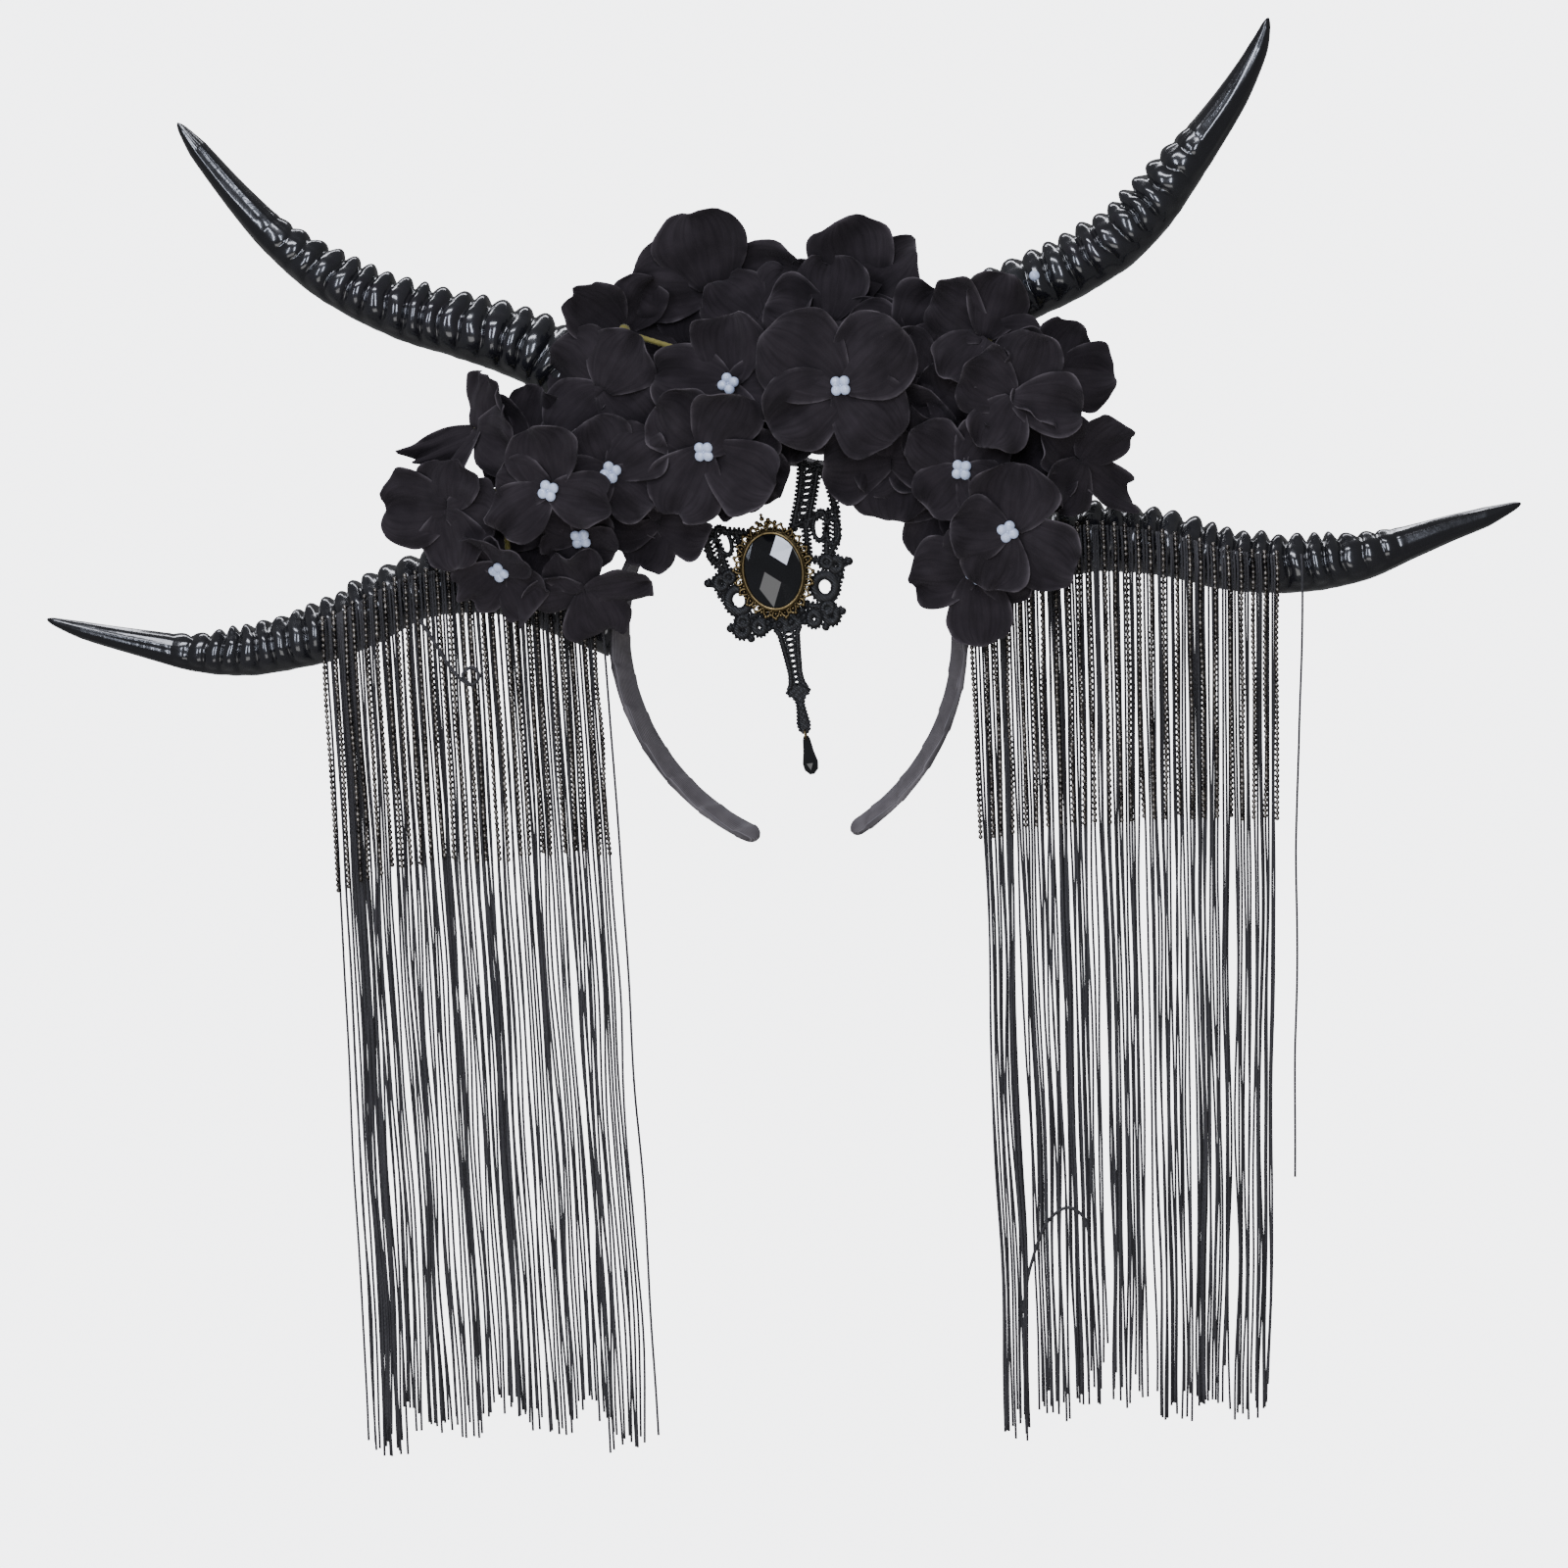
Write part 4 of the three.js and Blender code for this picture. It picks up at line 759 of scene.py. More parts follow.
def petal_shapes(name, blossom, rng):
    """Each petal's own angle, length, half width and curls."""
    shapes = []
    for turn, length, width, end_curl, side_curl in PETALS.get(name, []):
        local = turn + math.degrees(ROLL)
        local = -local if abs(blossom["yaw"]) > 90 else local
        turn = math.radians(local - blossom["spin"])
        shapes.append((turn, length, 1.1 * width, end_curl, side_curl))
    while len(shapes) < 4:
        turn = math.radians(90 * len(shapes) + rng.uniform(-12, 12))
        shapes.append((turn, rng.uniform(0.88, 1.08), rng.uniform(0.56, 0.66),
                       rng.uniform(-0.3, 0.4), rng.uniform(-0.4, 0.4)))
    return shapes


# %% [markdown]
# One petal is a grid, narrow at its foot, broad past its middle and round at its end. Its rows and
# columns crowd towards the rim, where the shape turns most. It is cupped and folded like its
# solid, then made its own: the end curls, one side lifts, broad pleats grow towards the rim and
# the rim itself waves.

# %% One petal
RUFFLE = (0.34, 0.6)  # least and greatest height of the pleats, in radii
# The pale line along the cut edge is a painted highlight.
RIM_WIDTH = 0.5 * MM  # of the pale line along the cut edge


def add_petal(bm, blossom, shape, layer, layers, rng):
    """Adds one petal, turned about the middle of its blossom."""
    radius = blossom["radius"]
    turn, length, half_width, end_curl, side_curl = shape
    seed, ruffle = rng.uniform(0, 100), rng.uniform(*RUFFLE)

    def place(u, v, vert):
        reach = math.sin(v * math.pi / 2)
        across = math.sin((u - 0.5) * math.pi)
        wide = half_width * petal_width(reach)
        uneven = noise.noise(Vector((math.copysign(1, across), reach * 1.8, seed)))
        x = across * wide * (1 + 0.16 * uneven * abs(across))
        side = x / half_width
        y = reach * length * (1 + 0.1 * noise.noise(Vector((side * 1.5, seed, 0))) * reach)
        spread = math.hypot(x, y)
        angle = turn + math.atan2(x, y)
        bend = blossom["cup"] + blossom["fold"] * math.cos(2 * angle)
        height = bend * spread ** 1.5 + layer
        height += end_curl * max(reach - 0.45, 0) ** 2
        height += side_curl * across * abs(across) * wide * reach
        height += ruffle * reach ** 2 * noise.noise(Vector((side * 1.8, reach, seed + 5)))
        edge = max(abs(across), reach) ** 5 * reach
        height += 0.5 * ruffle * edge * noise.noise(Vector((side * 2.6, reach * 2.6, seed + 12)))
        height += 0.1 * noise.noise(Vector((side * 1.6, reach * 2.8, seed + 9)))
        near_rim = min((1 - abs(across)) * max(wide, 0.05), 1 - reach) * radius
        vert[layers["across"]] = across
        vert[layers["reach"]] = reach
        # How near the rim a point is sets the painted highlight along the cut edge.
        vert[layers["rim"]] = math.exp(-near_rim / RIM_WIDTH)
        return Vector((spread * math.sin(angle), spread * math.cos(angle), height)) * radius

    shaped_grid(bm, 20, 18, place)


# %% [markdown]
# A blossom is four such petals round one middle, with every second one a little in front. The
# cloth is a sheet, so a Solidify modifier gives it its thickness once its shape is done.

# %% The blossoms
def blossom_bmesh(name, blossom, rng):
    bm = bmesh.new()
    layers = {key: bm.verts.layers.float.new(key) for key in ("across", "reach", "rim")}
    for order, shape in enumerate(petal_shapes(name, blossom, rng)):
        add_petal(bm, blossom, shape, 0.03 * (order % 2), layers, rng)
    bmesh.ops.remove_doubles(bm, verts=bm.verts, dist=1e-6)
    bmesh.ops.recalc_face_normals(bm, faces=bm.faces)
    bm.transform(blossom["pose"])
    return bm


def add_blossom(name, blossom, seed, nodes):
    """Adds a blossom as a piece whose cloth has a thickness."""
    piece = add_piece(f"cloth_blossom_{name}", blossom_bmesh(name, blossom, random.Random(seed)),
                      petal_cloth, nodes)
    wall = piece.modifiers.new("cloth", "SOLIDIFY")
    wall.thickness = CLOTH
    wall.offset = 0


for order, (name, blossom) in enumerate(blossoms.items()):
    add_blossom(name, blossom, order, [f"blossom_{name}"])

# %% [markdown]
# Between the blossoms, more of them lie deeper and close the gaps, as on a full silk spray. They
# are smaller, the shade makes them darker, and they stay inside the outline of the others. They
# have no solid of their own in the CAD model, so they replace nothing.

# %% Blossoms deep in the sprays
DEEP = [  # spray, then across, up, ahead, size, yaw, pitch, spin
    ("left", 0.05, 1.0, 0.62, 0.8, 5, 5, 50), ("left", -0.9, 1.0, 0.7, 0.7, -10, 10, 5),
    ("left", -1.35, 0.05, 0.72, 0.72, -12, -8, 25), ("left", 0.35, 0.55, 0.62, 0.7, 0, -5, 10),
    ("top", 0.15, 0.75, 0.66, 0.8, 0, 5, 20), ("top", -0.2, 1.9, 0.2, 0.8, 0, 20, 40),
    ("top", 0.75, 1.85, 0.4, 0.8, 5, 12, 15), ("right", 0.1, 1.6, 0.5, 0.8, 5, 10, 10),
    ("right", 0.9, 1.35, 0.75, 0.85, 4, 5, 60), ("right", 1.55, 0.6, 0.8, 0.8, 15, 0, 20),
    ("right", 0.5, 0.1, 0.72, 0.7, 0, -5, 30), ("right", 1.2, -0.35, 0.75, 0.66, 5, -5, 55),
    ("left", -1.5, 1.3, 0.5, 0.75, -12, 5, 30), ("top", 1.75, 1.5, 0.6, 0.85, 10, 5, 30),
    ("top", -0.5, 0.1, 1.0, 0.66, -5, -12, 20), ("top", 1.6, 0.3, 0.8, 0.8, 5, -5, 50),
]

for order, (side, across, up, ahead, size, yaw, pitch, spin) in enumerate(DEEP):
    place = away_from_seat(SPRAYS[side], across, up, ahead)
    deep = {"pose": blossom_pose(place, yaw, pitch, spin), "radius": size * BLOSSOM_RADIUS,
            "cup": 0.14, "fold": 0.05, "yaw": yaw, "spin": spin}
    add_blossom(f"deep_{order + 1}", deep, 90 + order, [])

# %% [markdown]
# The blossoms' centres and the pearl on a horn have the same pale blue coat. It shows three tones:
# a white glint, a blue body and a soft darker edge. A thin clear coat over a slightly mottled blue
# gives them.


# %% Pale blue pearl paint
def pearl_material():
    material, tree, shader, here = start_material(
        "pale blue pearl paint", Roughness=0.35, IOR=1.5, Coat_Weight=0.6, Coat_Roughness=0.15)
    mottle = noise_of(tree, here, 1.5, 3.0)
    paint(tree, shader, mottle, "#8592b4", "#d5deee")
    add_bump(tree, shader, mottle, 0.3, 0.15)
    return material


pearl_paint = pearl_material()

# %% [markdown]
# Each visible centre is four small domes of paint, pressed together, with a dimple between them.
# Four flattened spheres make them, and a small fifth one closes the gap in the middle.

# %% The painted centres
CENTRE_RADIUS = 4.4 * MM
CENTRE_BEND = math.sqrt(0.45)  # how much of a petal's bend there is under its centre


def centre_bmesh(blossom):
    bm = bmesh.new()
    bend = blossom["cup"] + abs(blossom["fold"])
    lift = PETAL_WALL / 2 + TOUCH_GAP + CENTRE_BEND * bend * CENTRE_RADIUS
    dome = 0.46 * CENTRE_RADIUS
    for petal in range(4):
        angle = petal * math.pi / 2
        middle = Vector((math.sin(angle), math.cos(angle), 0)) * 1.12 * dome
        matrix = Matrix.Translation(middle + Vector((0, 0, lift + 0.3 * dome)))
        bmesh.ops.create_uvsphere(bm, u_segments=16, v_segments=10, radius=dome,
                                  matrix=matrix @ Matrix.Diagonal((1, 1, 0.7, 1)))
    bmesh.ops.create_uvsphere(bm, u_segments=10, v_segments=6, radius=0.28 * dome,
                              matrix=Matrix.Translation((0, 0, lift + 0.45 * dome)))
    bm.transform(blossom["pose"])
    return bm


for name, blossom in blossoms.items():
    if blossom["centre"]:
        add_piece(f"painted_centre_{name}", centre_bmesh(blossom), pearl_paint,
                  [f"blossom_centre_{name}"])

# %% [markdown]
# The pearl is glued to the front of the horn, a little above its middle line. It is a sphere that
# reaches into the glue, set at the distance out from the band where the photograph shows it.

# %% The pearl on the horn
PEARL_RADIUS, PEARL_ACROSS, PEARL_TURN = 2 * MM, 106.5 * MM, math.radians(20)


def share_across(line, across):
    """The share of a horn's length at which it has come a distance sideways."""
    near, far = 0.0, 1.0
    for _ in range(24):
        middle = (near + far) / 2
        if abs(line.at(middle)[0].x) < across:
            near = middle
        else:
            far = middle
    return near


def pearl_bmesh():
    bm = bmesh.new()
    line = HORNS["horn_upper_right"]["line"]
    middle, thickness, _, back, top = axes_at(line, share_across(line, PEARL_ACROSS))
    ahead = thickness / 2 + 0.8 * PEARL_RADIUS
    middle = middle + (top * math.sin(PEARL_TURN) - back * math.cos(PEARL_TURN)) * ahead
    bmesh.ops.create_uvsphere(bm, u_segments=32, v_segments=20, radius=PEARL_RADIUS,
                              matrix=Matrix.Translation(middle))
    return bm


add_piece("glued_pearl", pearl_bmesh(), pearl_paint, ["horn_pearl"])

# %% [markdown]
# A cord, a wire or a thread is a tube along a line of points. Its round section must not twist on
# the way, so each section is turned from the one before it by no more than the line bends. The
# grid is then rolled round those sections.


# %% Tubes along points
def add_tube(bm, points, radius_at, sides=8, depth=1):
    """Adds a tube along points, with a radius for each share of its length."""
    steps = len(points) - 1
    sections = []
    across = None
    for i, here in enumerate(points):
        ahead = (points[min(i + 1, steps)] - points[max(i - 1, 0)]).normalized()
        across = across or Vector((0, 1, 0)).cross(ahead).normalized() or ahead.orthogonal()
        across = (across - ahead * across.dot(ahead)).normalized()
        sections.append((here, across, ahead.cross(across) * depth))

    def place(u, v, _):
        here, side, up = sections[round(v * steps)]
        angle = 2 * math.pi * u
        return here + (side * math.cos(angle) + up * math.sin(angle)) * radius_at(v)

    shaped_grid(bm, sides, steps, place)


def sampled(places, steps):
    """Evenly spaced points on a smooth line through places."""
    line = Line(places, steps=8)
    return [line.at(i / steps)[0] for i in range(steps + 1)]


# %% [markdown]
# The stems are wires wrapped in olive paper tape. The tape is crinkled, so it takes the light
# unevenly, which a mottled olive and a fine bump give.


# %% Olive paper-wrapped wire
def stem_material():
    material, tree, shader, here = start_material(
        "olive florist's paper tape", Roughness=0.75, IOR=1.45, Sheen_Weight=0.15)
    mottle = noise_of(tree, here, 2.5, 5.0)
    paint(tree, shader, mottle, "#4f4a1c", "#8f8540")
    crinkle = noise_of(tree, here, 0.6, 3.0)
    add_bump(tree, shader, crinkle, 0.5, 0.2)
    return material


# %% [markdown]
# One main stem ties each spray to the band, and one branch goes to the back of each blossom, where
# the tape flares out into a small green cup. Each turn of tape shows as a ring, so the tubes swell
# once for each turn.

# %% The stems
STEM_RADIUS, CUP_RADIUS = 1.1 * MM, 3.2 * MM
STEM_LEAD = 4 * STEM_RADIUS
TAPE_PITCH = 2.4 * MM
stem_tape = stem_material()


def wrapped(length):
    """A radius that swells once for each turn of tape along a length."""
    turns = length / TAPE_PITCH
    return lambda share: STEM_RADIUS * (0.92 + 0.12 * abs(math.sin(share * turns * math.pi)))


def calyx(share):
    """A radius that flares from the stem into a small cup under a blossom."""
    return mix(STEM_RADIUS, CUP_RADIUS, share ** 1.6)


def stem_bmesh(side, spray):
    bm = bmesh.new()
    middle, outward = band_at(BAND_RADIUS * math.radians(spray["angle"]))
    start = middle + outward * (BAND_THICKNESS / 2 + TOUCH_GAP)
    places = [start, start + outward * STEM_LEAD]
    places += [away_from_seat(spray, *row) for row in spray["stem"]]
    main = Line(places)
    stems = [places]
    for blossom in blossoms.values():
        if blossom["spray"] != side:
            continue
        leaves = main.at(mix(0.15, 1, blossom["joint"]))[0]
        seat, lead = (blossom["pose"] @ Vector((0, 0, -CLOTH - away)) for away in (0, STEM_LEAD))
        bend = mix(leaves, lead, 0.5)
        bend.y = mix(leaves.y, lead.y, 0.85)
        stems.append([leaves, bend, lead, seat])
        add_tube(bm, sampled([lead, seat], 6), calyx, sides=12)
    for places in stems:
        length = Line(places).length
        add_tube(bm, sampled(places, round(length / (0.6 * MM))), wrapped(length), sides=10)
    close_tubes(bm, 12)
    return bm


for side, spray in SPRAYS.items():
    add_piece(f"wrapped_stems_{side}", stem_bmesh(side, spray), stem_tape,
              [f"stem_spray_{side}"])

# %% [markdown]
# The curtains are sewn to a narrow tape that is glued along the upper front of each lower horn,
# just under its knobs. So one function gives their path for any place across a curtain: an arc
# down the front of the horn and then a straight drop that drifts a little sideways. The chains
# follow it outside, the threads follow it underneath.

# %% The path over a horn
CURTAIN_INNER = BAND_RADIUS + BAND_WIDTH / 2
CURTAIN_TOP = band_at(BAND_RADIUS * math.radians(85))[0].z
CURTAIN_REACH = 111 * MM
CHAIN_DROP, THREAD_DROP = 88 * MM, 325 * MM
SEWN_AT = math.radians(62)  # turned forward from the top of the horn
CURTAINS = {
    "left": {
        "horn": "horn_lower_left", "spread": 0.95, "drift": (-0.02, -0.03),
        "ends": (0.95, 0.93, 0.95, 0.93, 0.96, 1.05),
        "clumps": (0.94, 0.9, 0.46), "strays": [(-0.03, 0.97)],
        "loose": (20, [(428, 632), (445, 658), (465, 688), (481, 699), (489, 690), (482, 681),
                       (472, 689), (484, 702)]),
        "locks": [(0.06, 0.985), (0.2, 0.945), (0.35, 0.96), (0.51, 0.935), (0.67, 0.955),
                  (0.8, 0.95), (0.93, 0.975)],
    },
    "right": {
        "horn": "horn_lower_right", "spread": 1.05, "drift": (-0.04, -0.075),
        "ends": (1, 0.95, 0.96, 0.95, 0.98, 1),
        "clumps": (0.1, 0.285, 0.74), "strays": [(1.08, 0.71)],
        "loose": (14, [(1043, 1340), (1052, 1290), (1070, 1245), (1090, 1232), (1106, 1242),
                       (1112, 1262)]),
        "locks": [(0.05, 1), (0.19, 0.975), (0.34, 0.96), (0.48, 0.965), (0.63, 0.985),
                  (0.78, 0.975), (0.92, 0.99)],
    },
}


def read_table(values, share):
    """A value from evenly spaced ones, at a share of the way through them."""
    place = share * (len(values) - 1)
    before = min(int(place), len(values) - 2)
    return mix(values[before], values[before + 1], place - before)


def draped(curtain, place, offset):
    """The places on a horn's front from the sewn edge down, a distance off its ridges."""
    line = HORNS[curtain["horn"]]["line"]
    across = CURTAIN_INNER + place * curtain["spread"] * CURTAIN_REACH
    middle, tangent, thickness = line.at(share_across(line, across))
    stretch = math.hypot(tangent.x, tangent.z) / abs(tangent.x)
    reach = thickness / 2 + RIDGE_HEIGHT + offset
    arc = []
    for step in range(4):
        angle = mix(SEWN_AT, math.pi / 2, step / 3)
        turned = Vector((0, -math.sin(angle), stretch * math.cos(angle)))
        arc.append(middle + turned * reach)
    return arc


print("curtains start, mm:", round(CURTAIN_INNER / MM), "and hang from", round(CURTAIN_TOP / MM))

# %% [markdown]
# The chains are plated in dark antique bronze, which has worn lighter where the balls rub. One
# noise of 5 mm chooses worn patches and one of 1.4 mm, near the size of a ball, changes the tone
# and the polish from ball to ball.


# %% Dark antique bronze ball chain
def chain_material():
    material, tree, shader, here = start_material(
        "dark antique bronze plate", Metallic=1.0)
    patch = noise_of(tree, here, 5, 4.0)
    ball = noise_of(tree, here, 1.4, 1.0)
    patchy_share = add_node(tree, "ShaderNodeMath", {0: patch, 1: ball}, operation="MULTIPLY").outputs[0]
    spread = add_node(tree, "ShaderNodeMapRange", {
        "Value": patchy_share, "From Min": 0.15, "From Max": 0.4}).outputs[0]
    paint(tree, shader, spread, "#353230", "#a39c93")
    polish(tree, shader, ball, (0.3, 0.7), (0.25, 0.45))
    return material


chain_plate = chain_material()

# %% [markdown]
# Chains, the lace's small loops and the grains of the setting all come down to a ball on each of
# many points. Geometry Nodes does that: it puts a ball on each point of a mesh and, for a chain, a
# wire along each edge. So the mesh itself stays small, and one function serves for all three. A
# ball covers a few pixels, so some forty faces are enough for it.


# %% A ball on each point
def bead_tree(name, material, segments, rings, link_radius=None):
    """Geometry nodes that put a ball of its own radius on each point, and wires along edges."""
    tree = bpy.data.node_groups.new(name, "GeometryNodeTree")
    tree.interface.new_socket("Geometry", in_out="INPUT", socket_type="NodeSocketGeometry")
    tree.interface.new_socket("Geometry", in_out="OUTPUT", socket_type="NodeSocketGeometry")
    points = tree.nodes.new("NodeGroupInput").outputs[0]
    size = add_node(tree, "GeometryNodeInputNamedAttribute", {"Name": "radius"}).outputs[0]
    ball = add_node(tree, "GeometryNodeMeshUVSphere", {
        "Segments": segments, "Rings": rings, "Radius": 1.0}).outputs["Mesh"]
    balls = add_node(tree, "GeometryNodeInstanceOnPoints", {
        "Points": points, "Instance": ball, "Scale": size}).outputs[0]
    made = add_node(tree, "GeometryNodeRealizeInstances", {"Geometry": balls}).outputs[0]
    if link_radius:
        wires = add_node(tree, "GeometryNodeMeshToCurve", {"Mesh": points}).outputs[0]
        section = add_node(tree, "GeometryNodeCurvePrimitiveCircle", {
            "Resolution": 4, "Radius": link_radius}).outputs[0]
        links = add_node(tree, "GeometryNodeCurveToMesh", {
            "Curve": wires, "Profile Curve": section, "Fill Caps": True}).outputs[0]
        joined = add_node(tree, "GeometryNodeJoinGeometry", {"Geometry": made})
        tree.links.new(links, joined.inputs["Geometry"])
        made = joined.outputs[0]
    smooth = add_node(tree, "GeometryNodeSetShadeSmooth", {"Geometry": made}).outputs[0]
    painted = add_node(tree, "GeometryNodeSetMaterial", {
        "Geometry": smooth, "Material": material}).outputs[0]
    tree.links.new(painted, tree.nodes.new("NodeGroupOutput").inputs[0])
    return tree


# %% [markdown]
# The chains are fine ball chain, as on a lamp pull: hollow balls of 1.9 mm strung on short links.
# A sheet of points has a column for each chain and a row for each ball. Its edges across are
# deleted, and those that run down become the links.

# %% The ball chains
CHAINS, BALLS = 26, 50
BALL_RADIUS, LINK_RADIUS = 0.95 * MM, 0.4 * MM
CHAIN_OFFSET = 2.6 * MM  # from the crests of the ridges


def chain_bmesh(curtain, rng):
    bm = bmesh.new()
    order_layer = bm.verts.layers.float.new("order")
    radius_layer = bm.verts.layers.float.new("radius")
    lines = []
    for chain in range(CHAINS):
        place = (chain + rng.uniform(-0.15, 0.15)) / (CHAINS - 1)
        places = draped(curtain, place, CHAIN_OFFSET)
        share = read_table(curtain["ends"], min(max(place, 0), 1)) + rng.uniform(-0.012, 0.012)
        hang = places[-1]
        fall = hang.z - (CURTAIN_TOP - CHAIN_DROP * share)
        drift = mix(*curtain["drift"], place)
        for part in (0.25, 0.5, 0.75, 1):
            sway = rng.uniform(-0.5, 0.5) * MM
            down = Vector((drift * fall * part + sway, rng.uniform(-0.3, 0.3) * MM, -fall * part))
            places.append(hang + down)
        lines.append(Line(places, steps=8))

    def place(u, v, vert):
        vert[order_layer] = v
        vert[radius_layer] = BALL_RADIUS
        return lines[round(u * (CHAINS - 1))].at(v)[0]

    shaped_grid(bm, CHAINS - 1, BALLS, place)
    crossing = [edge for edge in bm.edges
                if edge.verts[0][order_layer] == edge.verts[1][order_layer]]
    bmesh.ops.delete(bm, geom=crossing, context="EDGES")
    return bm


balls_and_links = bead_tree("ball chain", chain_plate, 8, 5, LINK_RADIUS)
for seed, (side, curtain) in enumerate(CURTAINS.items()):
    piece = add_piece(f"ball_chains_{side}", chain_bmesh(curtain, random.Random(40 + seed)),
                      chain_plate, [f"chain_curtain_{side}"])
    piece.modifiers.new("balls", "NODES").node_group = balls_and_links

# %% [markdown]
# The threads are black viscose cord, slightly silky. They are only a few pixels wide, so a tone
# that drifts along them and a bump for their twist are all that shows.


# %% Black viscose thread
def thread_material():
    material, tree, shader, here = start_material(
        "black viscose thread", Roughness=0.6, Sheen_Weight=0.1, Sheen_Roughness=0.4, IOR=1.5)
    tone = noise_of(tree, here, 14, 4.0)
    paint(tree, shader, tone, "#121113", "#302d30")
    twist = add_node(tree, "ShaderNodeTexWave", {
        "Vector": here, "Scale": waves_mm(0.9), "Distortion": 2.0}, bands_direction="DIAGONAL")
    add_bump(tree, shader, twist.outputs["Fac"], 0.4, 0.15)
    return material


thread_cord = thread_material()

# %% [markdown]
# The threads start beside each other along the horn, under the chains, and drift a little towards
# loose locks as they fall. In a few places more of them hang together, and one or two stray away
# from the rest. Each thread is its own tube, which wanders by smooth noise, so that no two are
# alike, and they end raggedly. A curl on the left and an arc on the right have slipped out of
# place, and they are put where the photograph shows them.

# %% The threads
THREADS, THREAD_RADIUS = 92, 0.5 * MM
THREAD_OFFSET, THREAD_DEPTH = 0.9 * MM, 3.2 * MM
CLUMP = 4  # more threads where they hang together
GATHER = 0.12  # how far a thread moves towards the middle of its lock
LOCK_WAVE, OWN_WAVE, OWN_DEPTH = 2.4 * MM, 1.1 * MM, 2 * MM
RAGGED = 7  # how unevenly the threads end, in millimetres


def thread_points(curtain, share, rng, own_drop=None):
    """The points of one thread, from its sewn end on the horn to its ragged end."""
    lock, drop = min(curtain["locks"], key=lambda row: abs(row[0] - share))
    drop = own_drop or drop
    spread = curtain["spread"] * CURTAIN_REACH
    places = draped(curtain, share, THREAD_OFFSET)
    hang = places[-1]
    length = drop * THREAD_DROP + hang.z - CURTAIN_TOP - abs(rng.gauss(0, RAGGED)) * MM
    drift = mix(*curtain["drift"], share)
    depth = rng.uniform(0, THREAD_DEPTH)
    own = rng.uniform(0, 50)
    for step in range(1, 25):
        part = step / 24
        gather = GATHER * (lock - share) * spread * min(2.2 * eased(part, 0, 1), 1)
        height = -length * part
        wave = noise.noise(Vector((lock * 9, height / (90 * MM), 0))) * LOCK_WAVE * part
        wave += noise.noise(Vector((own, height / (60 * MM), 7))) * OWN_WAVE * min(part * 3, 1)
        weave = noise.noise(Vector((own, height / (50 * MM), 20))) * OWN_DEPTH
        across = drift * length * part + gather + wave
        places.append(hang + Vector((across, depth * min(part * 6, 1) + weave, height)))
    return sampled(places, 90)


def fringe_bmesh(curtain, rng):
    bm = bmesh.new()
    shares = [(thread + rng.uniform(0.1, 0.9)) / THREADS for thread in range(THREADS)]
    shares += [rng.gauss(clump, 0.012) for clump in curtain["clumps"] for _ in range(CLUMP)]
    threads = [(min(max(share, 0), 1), None) for share in shares]
    for share, drop in [*threads, *curtain["strays"]]:
        add_tube(bm, thread_points(curtain, share, rng, drop), lambda _: THREAD_RADIUS, sides=5)
    ahead, pixels = curtain["loose"]
    loose = [seen_at(x, y, ahead * MM) for x, y in pixels]
    add_tube(bm, sampled(loose, 60), lambda _: 1.4 * THREAD_RADIUS, sides=5)
    close_tubes(bm, 5)
    return bm


for seed, (side, curtain) in enumerate(CURTAINS.items()):
    add_piece(f"thread_locks_{side}", fringe_bmesh(curtain, random.Random(60 + seed)), thread_cord,
              [f"thread_fringe_{side}"])

# %% [markdown]
# The pendant hangs in front of the band and leans a little. It is drawn flat, about the middle of
# its stone, in millimetres across, up and to the front, and one matrix then sets it in place. The
# lace is machine-made guipure: thick cords and small rosettes, embroidered without a ground, so
# real air shows between them. Its knots and nearly all its cords are the CAD model's, mirrored
# about one line, and some cells between the cords hold an eye of cord.

# %% The lace's knots and cords
STONE_WIDTH, STONE_HEIGHT, STONE_DEPTH = 21.5 * MM, 28 * MM, 5 * MM
BEZEL_WIDTH, BEZEL_DEPTH = 4.2 * MM, 3.4 * MM
LACE_WIDTH, LACE_WALL, LACE_CORD = 56 * MM, 1.4 * MM, 2.3 * MM
LACE_AXIS = 0.027 * LACE_WIDTH
ROOT_SPREAD = (27 / 2 + 2) * MM / BAND_RADIUS
pendant_pose = Matrix.Translation((-2.4 * MM, -(BAND_WIDTH / 2 + 3.2 * MM), -38.6 * MM))
pendant_pose = pendant_pose @ Matrix.Rotation(math.radians(-4.9), 4, "Y")
KNOTS = {  # across from the axis, up from the stone's middle, and radius, in lace widths
    "middle": (0, 0, 0.03), "side": (0.34, 0, 0.066), "side tip": (0.49, -0.02, 0.036),
    "side top": (0.43, 0.13, 0.034), "side foot": (0.42, -0.1, 0.03),
    "side root": (0.22, 0.04, 0.03), "shoulder": (0.46, 0.34, 0.03),
    "collar": (0.33, 0.32, 0.03), "collar root": (0.15, 0.27, 0.03),
    "lower": (0.295, -0.315, 0.066), "lower tip": (0.39, -0.35, 0.034),
    "lower foot": (0.26, -0.44, 0.034), "lower root": (0.15, -0.27, 0.03),
    "net outer": (0.395, 0.33, 0.024), "net inner": (0.24, 0.3, 0.024),
    "tail side": (0.085, -0.33, 0.03), "tail wing": (0.135, -0.345, 0.026),
}
CORDS = [
    ("side", "side tip"), ("side", "side top"), ("side", "side foot"), ("side", "side root"),
    ("side top", "shoulder"), ("collar", "shoulder"),
    ("collar", "collar root"), ("side foot", "lower"), ("lower", "lower tip"),
    ("lower", "lower foot"), ("lower", "lower root"), ("side root", "middle"),
    ("collar root", "middle"), ("lower root", "middle"), ("side", "net outer"),
    ("side root", "net inner"), ("net inner", "collar root"), ("lower root", "tail side"),
    ("tail side", "tail wing"), ("tail wing", "lower"),
]
